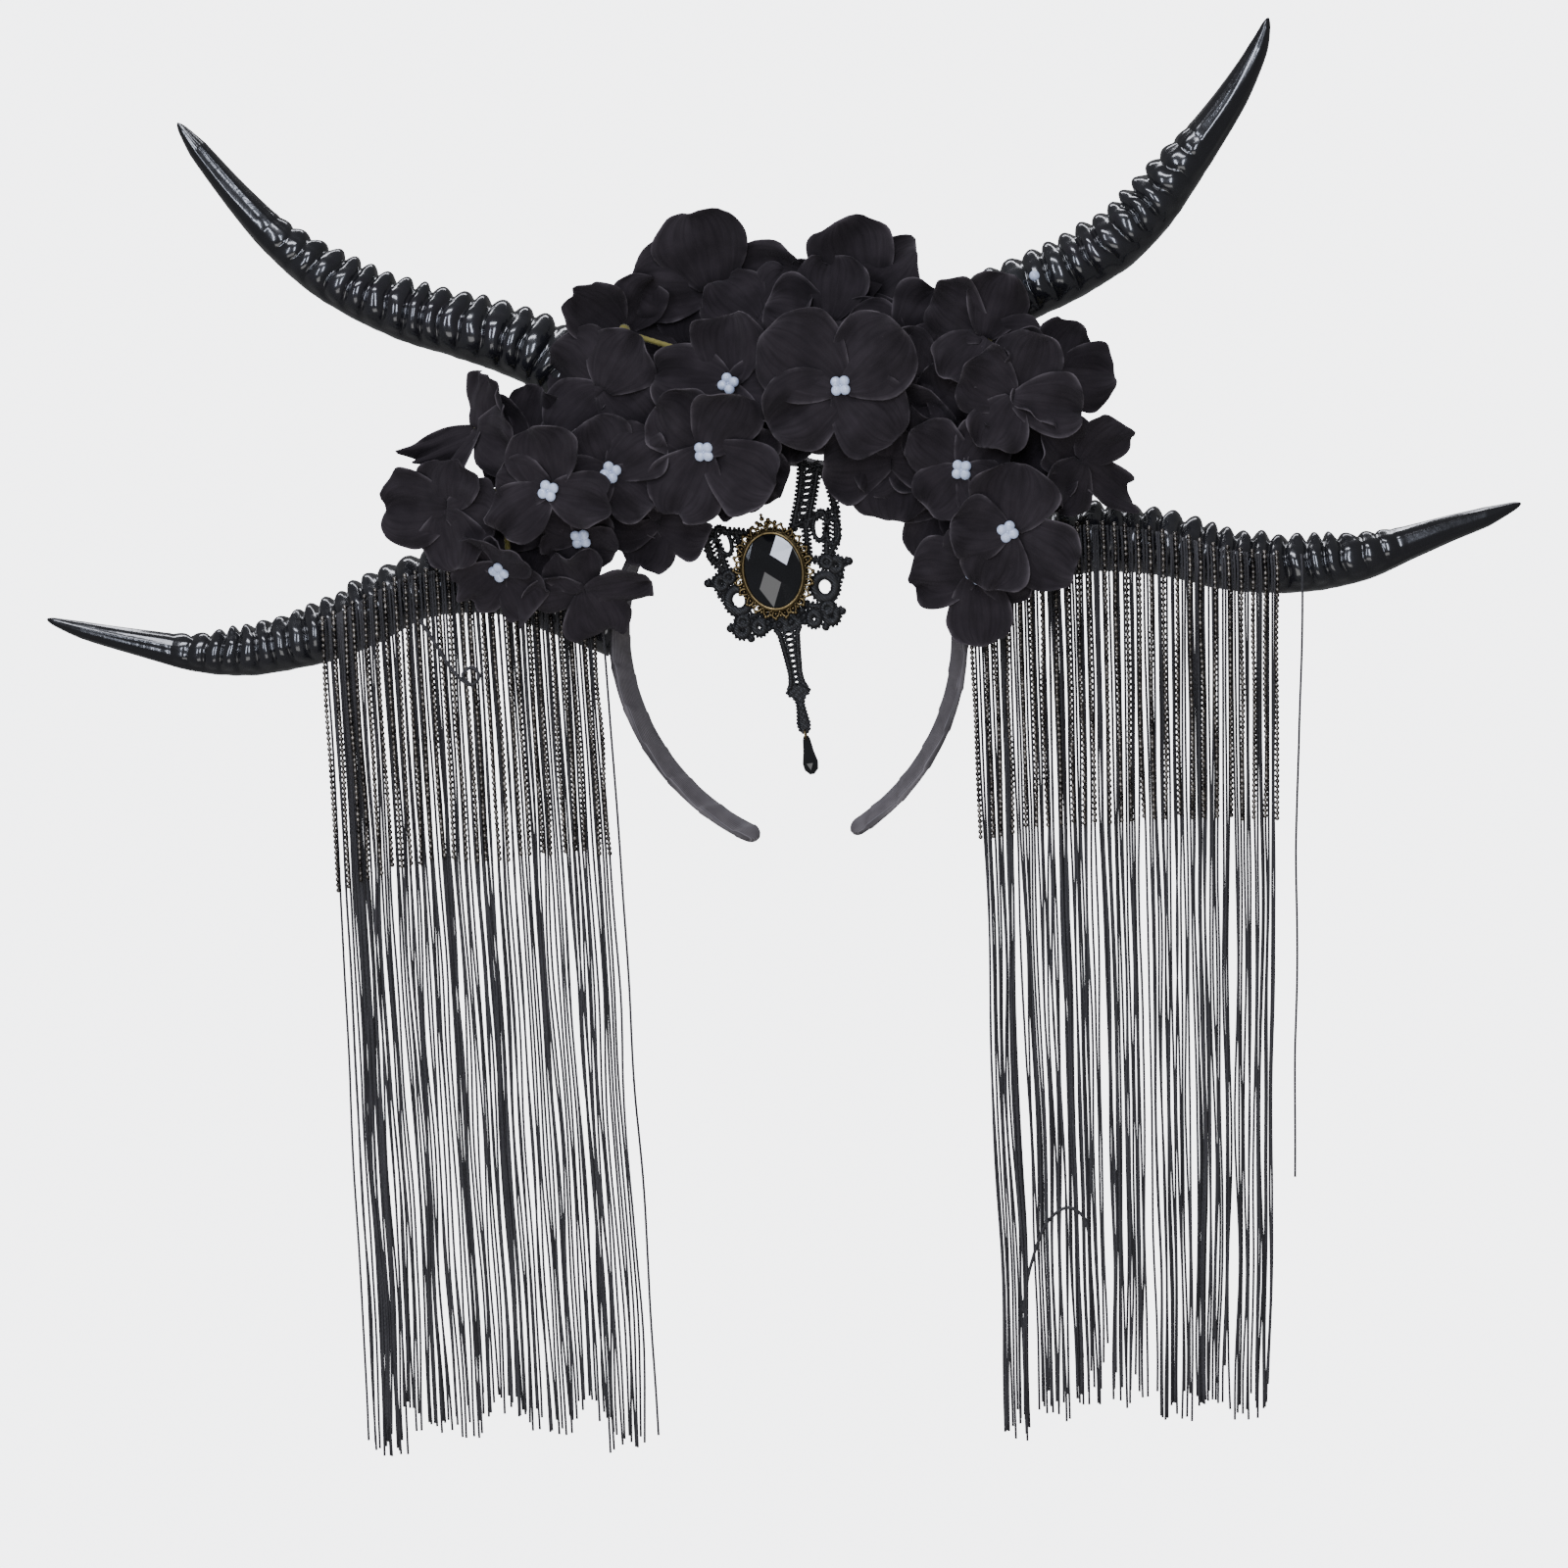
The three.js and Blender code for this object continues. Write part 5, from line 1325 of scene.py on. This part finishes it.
LOOPS = [  # middle as above, half length, half width and cord in millimetres, turn from upright
    (0.3, -0.167, 4.5, 4.1, 1.9, 0), (0.335, 0.25, 5.4, 2.6, 0.9, 12),
    (0.415, 0.2, 5, 2.4, 0.9, 8),
    (0.4, -0.03, 2.3, 1.9, 1.6, 0), (0.31, -0.37, 2.3, 2.1, 1.7, 0),
    (0.19, -0.37, 2.3, 1.9, 1.6, 0),
]


def band_anchor(angle):
    """A place on the band, across and up as the knots are."""
    x, _, z = pendant_pose.inverted() @ band_at(BAND_RADIUS * angle)[0]
    return (x - LACE_AXIS) / LACE_WIDTH, z / LACE_WIDTH


ANCHORS = [band_anchor(math.radians(angle) - ROOT_SPREAD) for angle in (-29, 29)]
STRANDS = [
    [(-0.46, 0.34), (-0.53, 0.42), (-0.63, 0.46), ANCHORS[0]],
    [(0.46, 0.34), (0.43, 0.58), ANCHORS[1]],
]
RAILS = [
    [(0.15, 0.27), (0.23, 0.48), (0.29, 0.72)],
    [(0.25, 0.26), (0.33, 0.48), ANCHORS[1]],
]
TAIL_LENGTH = 50 * MM
TAIL_TOP = -STONE_HEIGHT / 2
TAIL_LINE = [  # down the tail and half its width, as shares of its length and of the lace's width
    (0, 0.1), (0.1, 0.115), (0.15, 0.11), (0.22, 0.075), (0.36, 0.06), (0.53, 0.046),
    (0.62, 0.056), (0.655, 0.08), (0.68, 0.084), (0.72, 0.042), (0.76, 0.026), (0.84, 0.034),
    (0.925, 0.045), (0.97, 0.036), (1, 0.022),
]
NET_TOP, NET_FOOT = 0.2, 0.62
TAIL_BEADS = [  # share of the way down, millimetres across, radius
    (0.14, -2.9, 1.5), (0.13, 1.7, 1.5), (0.155, -7, 1.3), (0.15, 7, 1.3), (0.085, -0.6, 1.1),
    (0.06, -6.6, 1.5), (0.06, 6.6, 1.5), (0.11, -7, 1.4), (0.105, 7, 1.4),
]


def on_lace(place, ahead=0):
    """A knot's place in the pendant's own frame, so many metres in front of the lace's back."""
    return Vector((LACE_AXIS + place[0] * LACE_WIDTH, -ahead, place[1] * LACE_WIDTH))


print("lace knots:", len(KNOTS), "cords:", len(CORDS))

# %% [markdown]
# Guipure is embroidered in black cotton thread with a slight lustre. Its stitches run in fine
# slanted waves, drawn here as a bump 0.55 mm apart.


# %% Black cotton guipure
def lace_material():
    material, tree, shader, here = start_material(
        "black cotton guipure", Roughness=0.42, Sheen_Weight=0.04, Sheen_Roughness=0.5, IOR=1.45)
    patchy_share = noise_of(tree, here, 3, 4.0)
    paint(tree, shader, patchy_share, "#060607", "#171618")
    stitches = add_node(tree, "ShaderNodeTexWave", {
        "Vector": here, "Scale": waves_mm(0.55), "Distortion": 3.0, "Detail": 2.0},
        bands_direction="DIAGONAL").outputs["Fac"]
    add_bump(tree, shader, stitches, 0.6, 0.2)
    return material


lace_cotton = lace_material()

# %% [markdown]
# Much of the pendant is small balls and closed rings. A ball is only noted as a point with a size,
# for the Geometry Nodes above, and a ring is a grid rolled round a closed path. The depth of a ring
# can differ from its width, for cord that lies flat.


# %% Noted balls and closed rings
def add_bead(beads, place, radius):
    """Notes a point with a size, where Geometry Nodes puts a ball."""
    vert = bmesh.ops.create_vert(beads, co=place)["vert"][0]
    vert[beads.verts.layers.float["radius"]] = radius


def beads_bmesh():
    beads = bmesh.new()
    beads.verts.layers.float.new("radius")
    return beads


def add_beads(name, beads, material, tree):
    """Makes a piece of the noted points, each with a ball."""
    beads.transform(pendant_pose)
    piece = add_piece(name, beads, material)
    piece.modifiers.new("beads", "NODES").node_group = tree


def add_loop(bm, place_at, radius, steps, sides=8, depth=1):
    """Adds a closed tube through place_at(angle) for a full turn."""
    def place(u, v, _):
        turn = 2 * math.pi * v
        here = place_at(turn)
        ahead = (place_at(turn + 0.01) - here).normalized()
        out = ahead.cross(Vector((0, 1, 0))).normalized()
        angle = 2 * math.pi * u
        up = ahead.cross(out) * depth
        return here + (out * math.cos(angle) + up * math.sin(angle)) * radius

    shaped_grid(bm, sides, steps, place)


# %% [markdown]
# Embroidered cord is thread wound round a core, so it swells at each winding, and small loops,
# called picots, stand out along its edges. So a cord here is a tube whose radius ripples. A rosette
# is a thick ring with a bar across its hole, and an eye is an oval ring of flattened cord. All
# three get a row of picots.

# %% Cords, rosettes and eyes
CORD_RADIUS, PICOT_RADIUS, PICOT_PITCH = 1.1 * MM, 0.72 * MM, 1.6 * MM
SMALL_PICOT = 0.62 * MM
WINDING = 0.9 * MM  # length of one winding of a cord
RING_LEAST = 2.5 * MM  # a knot of less than this radius is a plain ball


def add_cord(bm, beads, places, radius=CORD_RADIUS):
    """Adds a wound cord through places, with picots along both of its edges."""
    points = [on_lace(place, LACE_WALL / 2) for place in places]
    line = Line(points)
    turns = line.length / WINDING
    steps = max(round(turns * 5), 6)

    def ripple(share):
        return radius * (0.9 + 0.16 * abs(math.sin(share * turns * math.pi)))

    add_tube(bm, sampled(points, steps), ripple, sides=8, depth=0.75)
    count = int(line.length / PICOT_PITCH)
    for i in range(count):
        place, ahead, _ = line.at((i + 0.5) / count)
        beside = ahead.cross(Vector((0, 1, 0))).normalized()
        for side in (-1, 1):
            add_bead(beads, place + beside * side * (radius + 0.3 * PICOT_RADIUS), PICOT_RADIUS)


def add_rosette(bm, beads, place, radius):
    """Adds a ring of wound thread with a bar across it, or a plain knot if it is small."""
    middle = on_lace(place, LACE_WALL / 2)
    if radius < RING_LEAST:
        add_bead(beads, middle, 0.85 * radius)
        return
    tube = 0.37 * radius
    circle = 0.52 * radius

    def ring(turn):
        return middle + Vector((math.sin(turn), 0, math.cos(turn))) * circle

    add_loop(bm, ring, tube, 32, 10)
    add_tube(bm, sampled([ring(0), middle, ring(math.pi)], 6), lambda _: 0.35 * MM, sides=6)
    loops = round(2 * math.pi * radius / PICOT_PITCH)
    for i in range(loops):
        turn = 2 * math.pi * i / loops
        around = Vector((math.sin(turn), 0, math.cos(turn))) * 0.92 * radius
        add_bead(beads, middle + around, SMALL_PICOT)


def add_eye(bm, beads, place, length, width, cord, turned):
    """Adds a closed eye of flattened cord, with picots round its outside."""
    middle = on_lace(place, 0.6 * LACE_WALL)
    lean = Matrix.Rotation(math.radians(turned), 3, "Y")

    def eye(turn):
        return middle + lean @ Vector((width * math.sin(turn), 0, length * math.cos(turn)))

    add_loop(bm, eye, cord, 36, 10, MM / cord)
    count = round(math.pi * (length + width + 2 * cord) / (1.7 * MM))
    for i in range(count):
        turn = 2 * math.pi * i / count
        outside = eye(turn) + (eye(turn) - middle).normalized() * cord
        add_bead(beads, outside, SMALL_PICOT)


# %% [markdown]
# Under the stone the tail opens to a bell with a scalloped edge, then narrows, and it ends in a
# barbed tip. The bell and the tip are closed sheets with a stitched face. Between them two rims
# hold a net of threads, so that air shows through it.

# %% The tail
RIM_RADIUS, RIM_INSET = 1.1 * MM, 0.8 * MM
NET_RADIUS, NET_PITCH = 0.6 * MM, 1.9 * MM
EDGE_RADIUS, EDGE_PITCH = 0.75 * MM, 1.35 * MM


def tail_half(down):
    """Half the width of the tail at a share of its length."""
    for (before, first), (after, second) in zip(TAIL_LINE, TAIL_LINE[1:]):
        if down <= after:
            return mix(first, second, (down - before) / (after - before)) * LACE_WIDTH
    return TAIL_LINE[-1][1] * LACE_WIDTH


def on_tail(down, across, ahead=0.5):
    """A place on the tail: a share of the way down it, so far from its middle and from its back."""
    return Vector((LACE_AXIS + across, -ahead * LACE_WALL, TAIL_TOP - down * TAIL_LENGTH))


def add_tail_sheet(bm, first, last):
    """Adds a closed part of the tail between two shares of its length, with a wound edge."""
    def place(u, v, _):
        angle = 2 * math.pi * u
        down = mix(first, last, v)
        across = math.sin(angle)
        edge = math.exp(-((1 - abs(across)) / 0.18) ** 2)
        stitch = math.sin(down * 44 * math.pi) * math.cos(across * 5 * math.pi / 2)
        raised = LACE_WALL / 2 * (0.7 + 0.35 * edge + 0.2 * stitch)
        depth = squared(math.cos(angle), 0.5) * raised
        return on_tail(down, across * tail_half(down)) + Vector((0, -depth, 0))

    shaped_grid(bm, 40, round((last - first) * 180), place)


def add_tail(bm, beads):
    """Adds the tail: a closed bell and end, and between them two rims with a net."""
    add_tail_sheet(bm, 0, NET_TOP)
    add_tail_sheet(bm, NET_FOOT, 1)
    rows = round((NET_FOOT - NET_TOP) * TAIL_LENGTH / NET_PITCH)
    shares = [mix(NET_TOP - 0.02, NET_FOOT + 0.02, row / rows) for row in range(rows + 1)]
    for side in (-1, 1):
        rim = [on_tail(down, side * (tail_half(down) - RIM_INSET)) for down in shares]
        add_tube(bm, sampled(rim, 90), lambda _: RIM_RADIUS, sides=8)
        for row in range(rows):
            turn = side if row % 2 else -side
            ends = [on_tail(down, turn * (tail_half(down) - MM) * way)
                    for down, way in zip(shares[row:row + 2], (1, -1))]
            add_tube(bm, sampled(ends, 6), lambda _: NET_RADIUS, sides=6)
    down, step = 0.02, EDGE_PITCH / TAIL_LENGTH
    while down < 0.98:
        half = tail_half(down)
        for side in (-1, 1):
            add_bead(beads, on_tail(down, side * (half - 0.3 * MM), 0.8), EDGE_RADIUS)
        down += step
    for down, across, size in TAIL_BEADS:
        add_bead(beads, on_tail(down, across * MM, 1.1), size * MM)


# %% [markdown]
# The lace is put together on both sides of its axis. To the right of it a ladder of crossed
# threads climbs to the band. A thin pad of the same cotton lies behind the setting, where it is
# seen only past the setting's open edge.

# %% The lace
LADDER_STEPS, LADDER_REACH = 10, (0.27, 0.69)
LADDER_THREAD, LADDER_KNOT = 0.65 * MM, 1.1 * MM


def at_height(rail, up):
    """The place on a rail of the ladder that has climbed to a height."""
    for (x0, y0), (x1, y1) in zip(rail, rail[1:]):
        if up <= y1:
            break
    return mix(x0, x1, (up - y0) / (y1 - y0)), up


def lace_bmesh(beads):
    bm = bmesh.new()
    add_tail(bm, beads)
    for side in (-1, 1):
        places = {name: (side * row[0], row[1]) for name, row in KNOTS.items()}
        for name, (_, _, size) in KNOTS.items():
            add_rosette(bm, beads, places[name], size * LACE_WIDTH)
        for first, last in CORDS:
            add_cord(bm, beads, [places[first], places[last]])
        for across, up, length, width, cord, turned in LOOPS:
            add_eye(bm, beads, (side * across, up), length * MM, width * MM, cord * MM,
                    side * turned)
    for strand in [*STRANDS, *RAILS]:
        add_cord(bm, beads, strand)
    for i in range(LADDER_STEPS):
        low, high = (mix(*LADDER_REACH, (i + step) / LADDER_STEPS) for step in (0, 1))
        for first, last in ((0, 1), (1, 0)):
            cross = [at_height(RAILS[first], low), at_height(RAILS[last], high)]
            points = [on_lace(place, LACE_WALL / 2) for place in cross]
            add_tube(bm, sampled(points, 10), lambda _: LADDER_THREAD, sides=6)
        add_bead(beads, mix(*points, 0.5), LADDER_KNOT)
    for anchor in ANCHORS:
        ends = [on_lace(anchor, -2.9 * MM), on_lace(anchor, LACE_WALL)]
        add_tube(bm, sampled(ends, 6), lambda _: 1.1 * LACE_CORD, 16)
    close_tubes(bm, 40)
    bm.transform(pendant_pose)
    return bm


def pad_bmesh():
    """The lace behind the setting: a thin oval pad."""
    bm = bmesh.new()
    past = 0.6 * BEZEL_WIDTH
    matrix = Matrix.Translation((0, -LACE_WALL / 2, 0)) @ Matrix.Diagonal(
        (STONE_WIDTH / 2 + past, LACE_WALL / 2, STONE_HEIGHT / 2 + past, 1))
    bmesh.ops.create_uvsphere(bm, u_segments=48, v_segments=16, radius=1, matrix=matrix)
    bm.transform(pendant_pose)
    return bm


picots = beads_bmesh()
add_piece("guipure_lace", lace_bmesh(picots), lace_cotton, ["pendant_lace"])
add_beads("guipure_picots", picots, lace_cotton, bead_tree("picots", lace_cotton, 8, 6))
add_piece("guipure_pad", pad_bmesh(), lace_cotton)

# %% [markdown]
# The setting is cast brass with a dark antique wash that stays in the hollows while the high parts
# are wiped bright. Ambient occlusion finds the hollows for the wash, so it follows the real shapes.


# %% Antique brass
def brass_material():
    material, tree, shader, here = start_material("antique brass, washed dark", Metallic=1.0)
    hollow = add_node(tree, "ShaderNodeAmbientOcclusion", {"Distance": 1.6 * MM}, samples=8)
    patch = noise_of(tree, here, 2, 4.0)
    open_part = add_node(tree, "ShaderNodeMath", {
        0: hollow.outputs["AO"], 1: patch}, operation="MULTIPLY").outputs[0]
    share = add_node(tree, "ShaderNodeMapRange", {
        "Value": open_part, "From Min": 0.12, "From Max": 0.5}).outputs[0]
    paint(tree, shader, share, "#1f1a11", "#857350")
    rough = add_node(tree, "ShaderNodeMapRange", {
        "Value": share, "To Min": 0.6, "To Max": 0.3})
    tree.links.new(rough.outputs[0], shader.inputs["Roughness"])
    add_bump(tree, shader, patch, 0.3, 0.15)
    return material


antique_brass = brass_material()

# %% [markdown]
# A plain lip holds the stone. Round it runs open filigree: a wreath of wire curls, with a grain on
# each curl and in each gap, and a small crown of grains at the top. The curls are rings, tilted to
# one side and the other in turn.

# %% The filigree setting
CURL_COUNT = 24
SEAT_DEPTH = LACE_WALL + TOUCH_GAP
CROWN = [  # angle from the top, millimetres out from the stone's edge, radius
    (-0.34, 4.6, 0.9), (-0.2, 5.4, 0.9), (-0.06, 6.3, 1), (0.08, 5.6, 0.9), (0.24, 4.8, 0.9),
    (-0.13, 4.2, 1), (0.02, 4.4, 1), (-0.06, 7.8, 0.7),
]


def oval_place(out, angle, ahead):
    """A place round the stone: a distance out from its edge and in front of the lace's back."""
    return Vector(((STONE_WIDTH / 2 + out) * math.sin(angle), -ahead,
                   (STONE_HEIGHT / 2 + out) * math.cos(angle)))


def setting_bmesh(beads):
    bm = bmesh.new()
    lip = SEAT_DEPTH + 0.8 * BEZEL_DEPTH
    rings = [(0.7, lip - 0.4 * MM, 0.7, 12), (1.2, lip - 1.4 * MM, 0.85, 10),
             (1.4, SEAT_DEPTH + 0.6 * MM, 0.6, 8)]
    for out, ahead, radius, sides in rings:
        add_loop(bm, lambda turn: oval_place(out * MM, turn, ahead), radius * MM, 96, sides)
    for angle, out_by, size in CROWN:
        add_bead(beads, oval_place(out_by * MM, angle, SEAT_DEPTH + 0.5 * BEZEL_DEPTH), size * MM)
    for i in range(CURL_COUNT):
        angle = 2 * math.pi * (i + 0.5) / CURL_COUNT
        out = oval_place(1, angle, 0).normalized()
        beside = out.cross(Vector((0, 1, 0)))
        middle = oval_place(0.62 * BEZEL_WIDTH, angle, SEAT_DEPTH + 0.4 * BEZEL_DEPTH)
        tilt = 0.35 * (1 if i % 2 else -1)

        def curl(turn):
            across = math.sin(turn) + tilt * math.cos(turn)
            return middle + (out * math.cos(turn) * 1.4 + beside * across) * 1.2 * MM

        add_loop(bm, curl, 0.48 * MM, 20, 6)
        add_bead(beads, middle + out * 1.9 * MM, 0.8 * MM)
        add_bead(beads, middle - Vector((0, 0.25 * MM, 0)), 0.55 * MM)
        between = angle + math.pi / CURL_COUNT
        for out_by, size in ((0.42, 0.62), (0.8, 0.68)):
            ahead = SEAT_DEPTH + (0.75 - 0.5 * out_by) * BEZEL_DEPTH
            add_bead(beads, oval_place(out_by * BEZEL_WIDTH, between, ahead), size * MM)
    close_tubes(bm, 0)
    bm.transform(pendant_pose)
    return bm


grains = beads_bmesh()
add_piece("filigree_setting", setting_bmesh(grains), antique_brass, ["pendant_setting"])
add_beads("filigree_grains", grains, antique_brass,
          bead_tree("grains", antique_brass, 12, 8))

# %% [markdown]
# The stone and the drop are black glass. Cut glass is so smooth that it shows mostly as what it
# reflects, and its surface needs only a trace of polish haze.


# %% Black cut glass
def glass_material():
    material, tree, shader, here = start_material(
        "black cut glass", IOR=1.55, Coat_Weight=0.5, Coat_Roughness=0.01)
    cloud = noise_of(tree, here, 9, 2.0)
    paint(tree, shader, cloud, "#070708", "#131417")
    haze = add_node(tree, "ShaderNodeMapRange", {
        "Value": cloud, "To Min": 0.02, "To Max": 0.08})
    tree.links.new(haze.outputs[0], shader.inputs["Roughness"])
    return material


black_glass = glass_material()

# %% [markdown]
# The stone is an oval, cut with a low dome of large slanted facets, so that one or two at a time
# catch the light. A coarse slanted grid is lifted onto the dome, and each of its faces is made
# flat, so that it mirrors one light as a whole. Planes round the oval then cut it to its outline,
# as a cutter would, and its rim is drawn down into the setting.

# %% The stone
FACET_LEFT, FACET_RIGHT = Vector((5.6, -4.9)) * MM, Vector((3.1, 6.2)) * MM
FACET_START = Vector((2.7, -4.6)) * MM
STONE_CORNERS = 28


def dome_height(x, z):
    """The height of the stone's dome above its seat."""
    from_middle = (2 * x / STONE_WIDTH) ** 2 + (2 * z / STONE_HEIGHT) ** 2
    return STONE_DEPTH * (0.42 + 0.58 * math.sqrt(max(1 - 0.88 * from_middle, 0)))


def stone_bmesh():
    bm = bmesh.new()

    def place(u, v, _):
        x, z = FACET_START + FACET_LEFT * round(8 * u - 4) + FACET_RIGHT * round(8 * v - 4)
        return Vector((x, -SEAT_DEPTH - dome_height(x, z), z))

    shaped_grid(bm, 8, 8, place)
    bmesh.ops.planar_faces(bm, faces=bm.faces, iterations=60, factor=0.5)
    for i in range(STONE_CORNERS):
        angle = 2 * math.pi * i / STONE_CORNERS
        edge = Vector((STONE_WIDTH / 2 * math.sin(angle), 0, STONE_HEIGHT / 2 * math.cos(angle)))
        outward = Vector((math.sin(angle) / STONE_WIDTH, 0, math.cos(angle) / STONE_HEIGHT))
        bmesh.ops.bisect_plane(bm, geom=[*bm.verts, *bm.edges, *bm.faces], plane_co=edge,
                               plane_no=outward, clear_outer=True)
    rim = [edge for edge in bm.edges if edge.is_boundary]
    made = bmesh.ops.extrude_edge_only(bm, edges=rim)["geom"]
    for vert in {part for part in made if isinstance(part, bmesh.types.BMVert)}:
        vert.co.y = -SEAT_DEPTH
    close_tubes(bm, 0)
    bm.transform(pendant_pose)
    return bm


add_piece("cut_stone", stone_bmesh(), black_glass, ["pendant_stone"], smooth=False)

# %% [markdown]
# A brass jump ring joins the eye of the tail to the drop. A jump ring is a turn of round wire, so
# a small circle is spun once about the ring's middle. The drop is a grid of eight columns, rolled
# up, with every second row turned by half a face, which gives it its facets.

# %% The jump ring and the drop
EYE_RADIUS, RING_RADIUS, RING_WIRE = 0.8 * MM, 2 * MM, 0.35 * MM
EYE_UP = TAIL_TOP - TAIL_LENGTH + 2 * EYE_RADIUS
DROP_LENGTH, DROP_WIDTH = 15 * MM, 6.4 * MM
DROP_LINE = [  # share of its length, then half its width and half its depth
    (0, 0.3, 0.25), (0.1, 0.5, 0.35), (0.4, 0.66, 0.6), (0.7, 1, 0.8), (0.88, 0.84, 0.66),
    (1, 0.3, 0.2),
]


def ring_bmesh():
    bm = bmesh.new()
    middle = Vector((LACE_AXIS, -LACE_WALL / 2, EYE_UP - RING_RADIUS))
    top = middle + Vector((0, 0, RING_RADIUS))
    upright = Matrix.Translation(top) @ Matrix.Rotation(math.pi / 2, 4, "X")
    made = bmesh.ops.create_circle(bm, segments=10, radius=RING_WIRE, matrix=upright)
    edges = list({edge for vert in made["verts"] for edge in vert.link_edges})
    bmesh.ops.spin(bm, geom=[*made["verts"], *edges], cent=middle, axis=(1, 0, 0),
                   angle=2 * math.pi, steps=36, use_merge=True, use_duplicate=False)
    bmesh.ops.remove_doubles(bm, verts=bm.verts, dist=1e-6)
    bmesh.ops.recalc_face_normals(bm, faces=bm.faces)
    bm.transform(pendant_pose)
    return bm


def drop_bmesh():
    bm = bmesh.new()
    top = EYE_UP - 2 * RING_RADIUS + 2 * EYE_RADIUS
    rows = len(DROP_LINE) - 1

    def place(u, v, _):
        row = round(v * rows)
        down, wide, deep = DROP_LINE[row]
        angle = 2 * math.pi * (u + 0.5 * (row % 2) / 8)
        return Vector((LACE_AXIS + wide * DROP_WIDTH / 2 * math.sin(angle),
                       deep * DROP_WIDTH / 2 * math.cos(angle) - LACE_WALL / 2,
                       top - down * DROP_LENGTH))

    shaped_grid(bm, 8, rows, place)
    close_tubes(bm, 8)
    bmesh.ops.triangulate(bm, faces=[face for face in bm.faces if len(face.verts) == 4])
    bm.transform(pendant_pose)
    return bm


add_piece("jump_ring_wire", ring_bmesh(), antique_brass, ["jump_ring"])
add_piece("cut_glass_drop", drop_bmesh(), black_glass, ["drop_bead"], smooth=False)


# %% [markdown]
# The headband is held up as on a head, over a plain pale floor. The floor is a disc of paper well
# below the ends of the threads, so that it can be seen from above and from behind the object but
# doesn't fill the photograph's own view, which shows none. It is kept out of the gloss, as a
# photographer does with black card, because glossy horns would otherwise turn grey underneath.

# %% The pale floor
FLOOR_GAP = 300 * MM
FLOOR_RADIUS = 0.8
floor_height = cad_box[0][2] - FLOOR_GAP


def floor_bmesh():
    bm = bmesh.new()
    bmesh.ops.create_circle(bm, cap_ends=True, segments=96, radius=FLOOR_RADIUS,
                            matrix=Matrix.Translation((0, 0, floor_height)))
    return bm


def paper_material():
    material, tree, shader, here = start_material("matt backdrop paper", Roughness=0.9)
    fibre = noise_of(tree, here, 40, 3.0)
    paint(tree, shader, fibre, "#f6f6f6", "#fafafa")
    return material


def add_stage(bm, material):
    """Makes the floor, which isn't part of the object and doesn't show in its gloss."""
    mesh = bpy.data.meshes.new("pale_floor")
    bm.to_mesh(mesh)
    bm.free()
    mesh.materials.append(material)
    paper = bpy.data.objects.new("pale_floor", mesh)
    paper.visible_glossy = False
    bpy.context.collection.objects.link(paper)


add_stage(floor_bmesh(), paper_material())

# %% [markdown]
# Glossy black shows what stands round it, so the lights are what the viewer sees on the horns. A
# tall narrow soft box in front, a little to the right, draws a streak on each ridge and the
# window on the stone. A second one at the left does the same for the other horns. A box overhead
# models the petals from above, a strip behind gives the knobs their glints, and a weak wide box
# low in front gives the grey on the stone's lower facets. The room round them is white as the
# camera and the cloth see it, which gives soft even light and a clean background, and dim in the
# gloss.

# %% Soft studio light
LIGHTS = [  # name, place, size across and down in metres, power in watts, colour
    ("key", (0.21, -1.99, 0.74), (0.34, 1.1), 22, "#e4ecff"),
    ("left strip", (-0.95, -1.85, 0.8), (0.2, 1.1), 14, "#e4ecff"),
    ("overhead", (-0.4, -0.9, 1.6), (1.2, 0.3), 19, "#eef2ff"),
    ("back strip", (-0.1, 0.9, 1.45), (1.6, 0.2), 12, "#f4f6ff"),
    ("low fill", (-0.22, -1.81, -0.85), (1.3, 0.9), 8, "#ffffff"),
]
ROOM_SEEN, ROOM_LIGHT, ROOM_GLOSS = 5.0, 0.6, 0.16


def add_lights():
    """Hangs the soft boxes, each turned to the middle of the headband."""
    middle = Vector((0, 0, 0.5 * cad_box[0][2]))
    for name, place, size, power, colour in LIGHTS:
        data = bpy.data.lights.new(name, "AREA")
        data.shape = "RECTANGLE"
        data.size, data.size_y = size
        data.energy = power
        data.color = linear(colour)[:3]
        light = bpy.data.objects.new(name, data)
        turn = (Vector(place) - middle).to_track_quat("Z", "Y").to_matrix().to_4x4()
        light.matrix_world = Matrix.Translation(place) @ turn
        bpy.context.collection.objects.link(light)


def add_world():
    """A white room that is bright to look at, softer as light and dim in the gloss."""
    world = bpy.data.worlds.new("studio")
    world.use_nodes = True
    tree = world.node_tree
    ray = add_node(tree, "ShaderNodeLightPath")
    seen, light, gloss = (
        add_node(tree, "ShaderNodeBackground", {
            "Color": linear("#fbfcff"), "Strength": strength}).outputs[0]
        for strength in (ROOM_SEEN, ROOM_LIGHT, ROOM_GLOSS))
    lit = add_node(tree, "ShaderNodeMixShader", {
        0: ray.outputs["Is Glossy Ray"], 1: light, 2: gloss}).outputs[0]
    room = add_node(tree, "ShaderNodeMixShader", {
        0: ray.outputs["Is Camera Ray"], 1: lit, 2: seen}).outputs[0]
    tree.links.new(room, tree.nodes["World Output"].inputs["Surface"])
    bpy.context.scene.world = world


add_lights()
add_world()
print("lights:", [row[0] for row in LIGHTS])
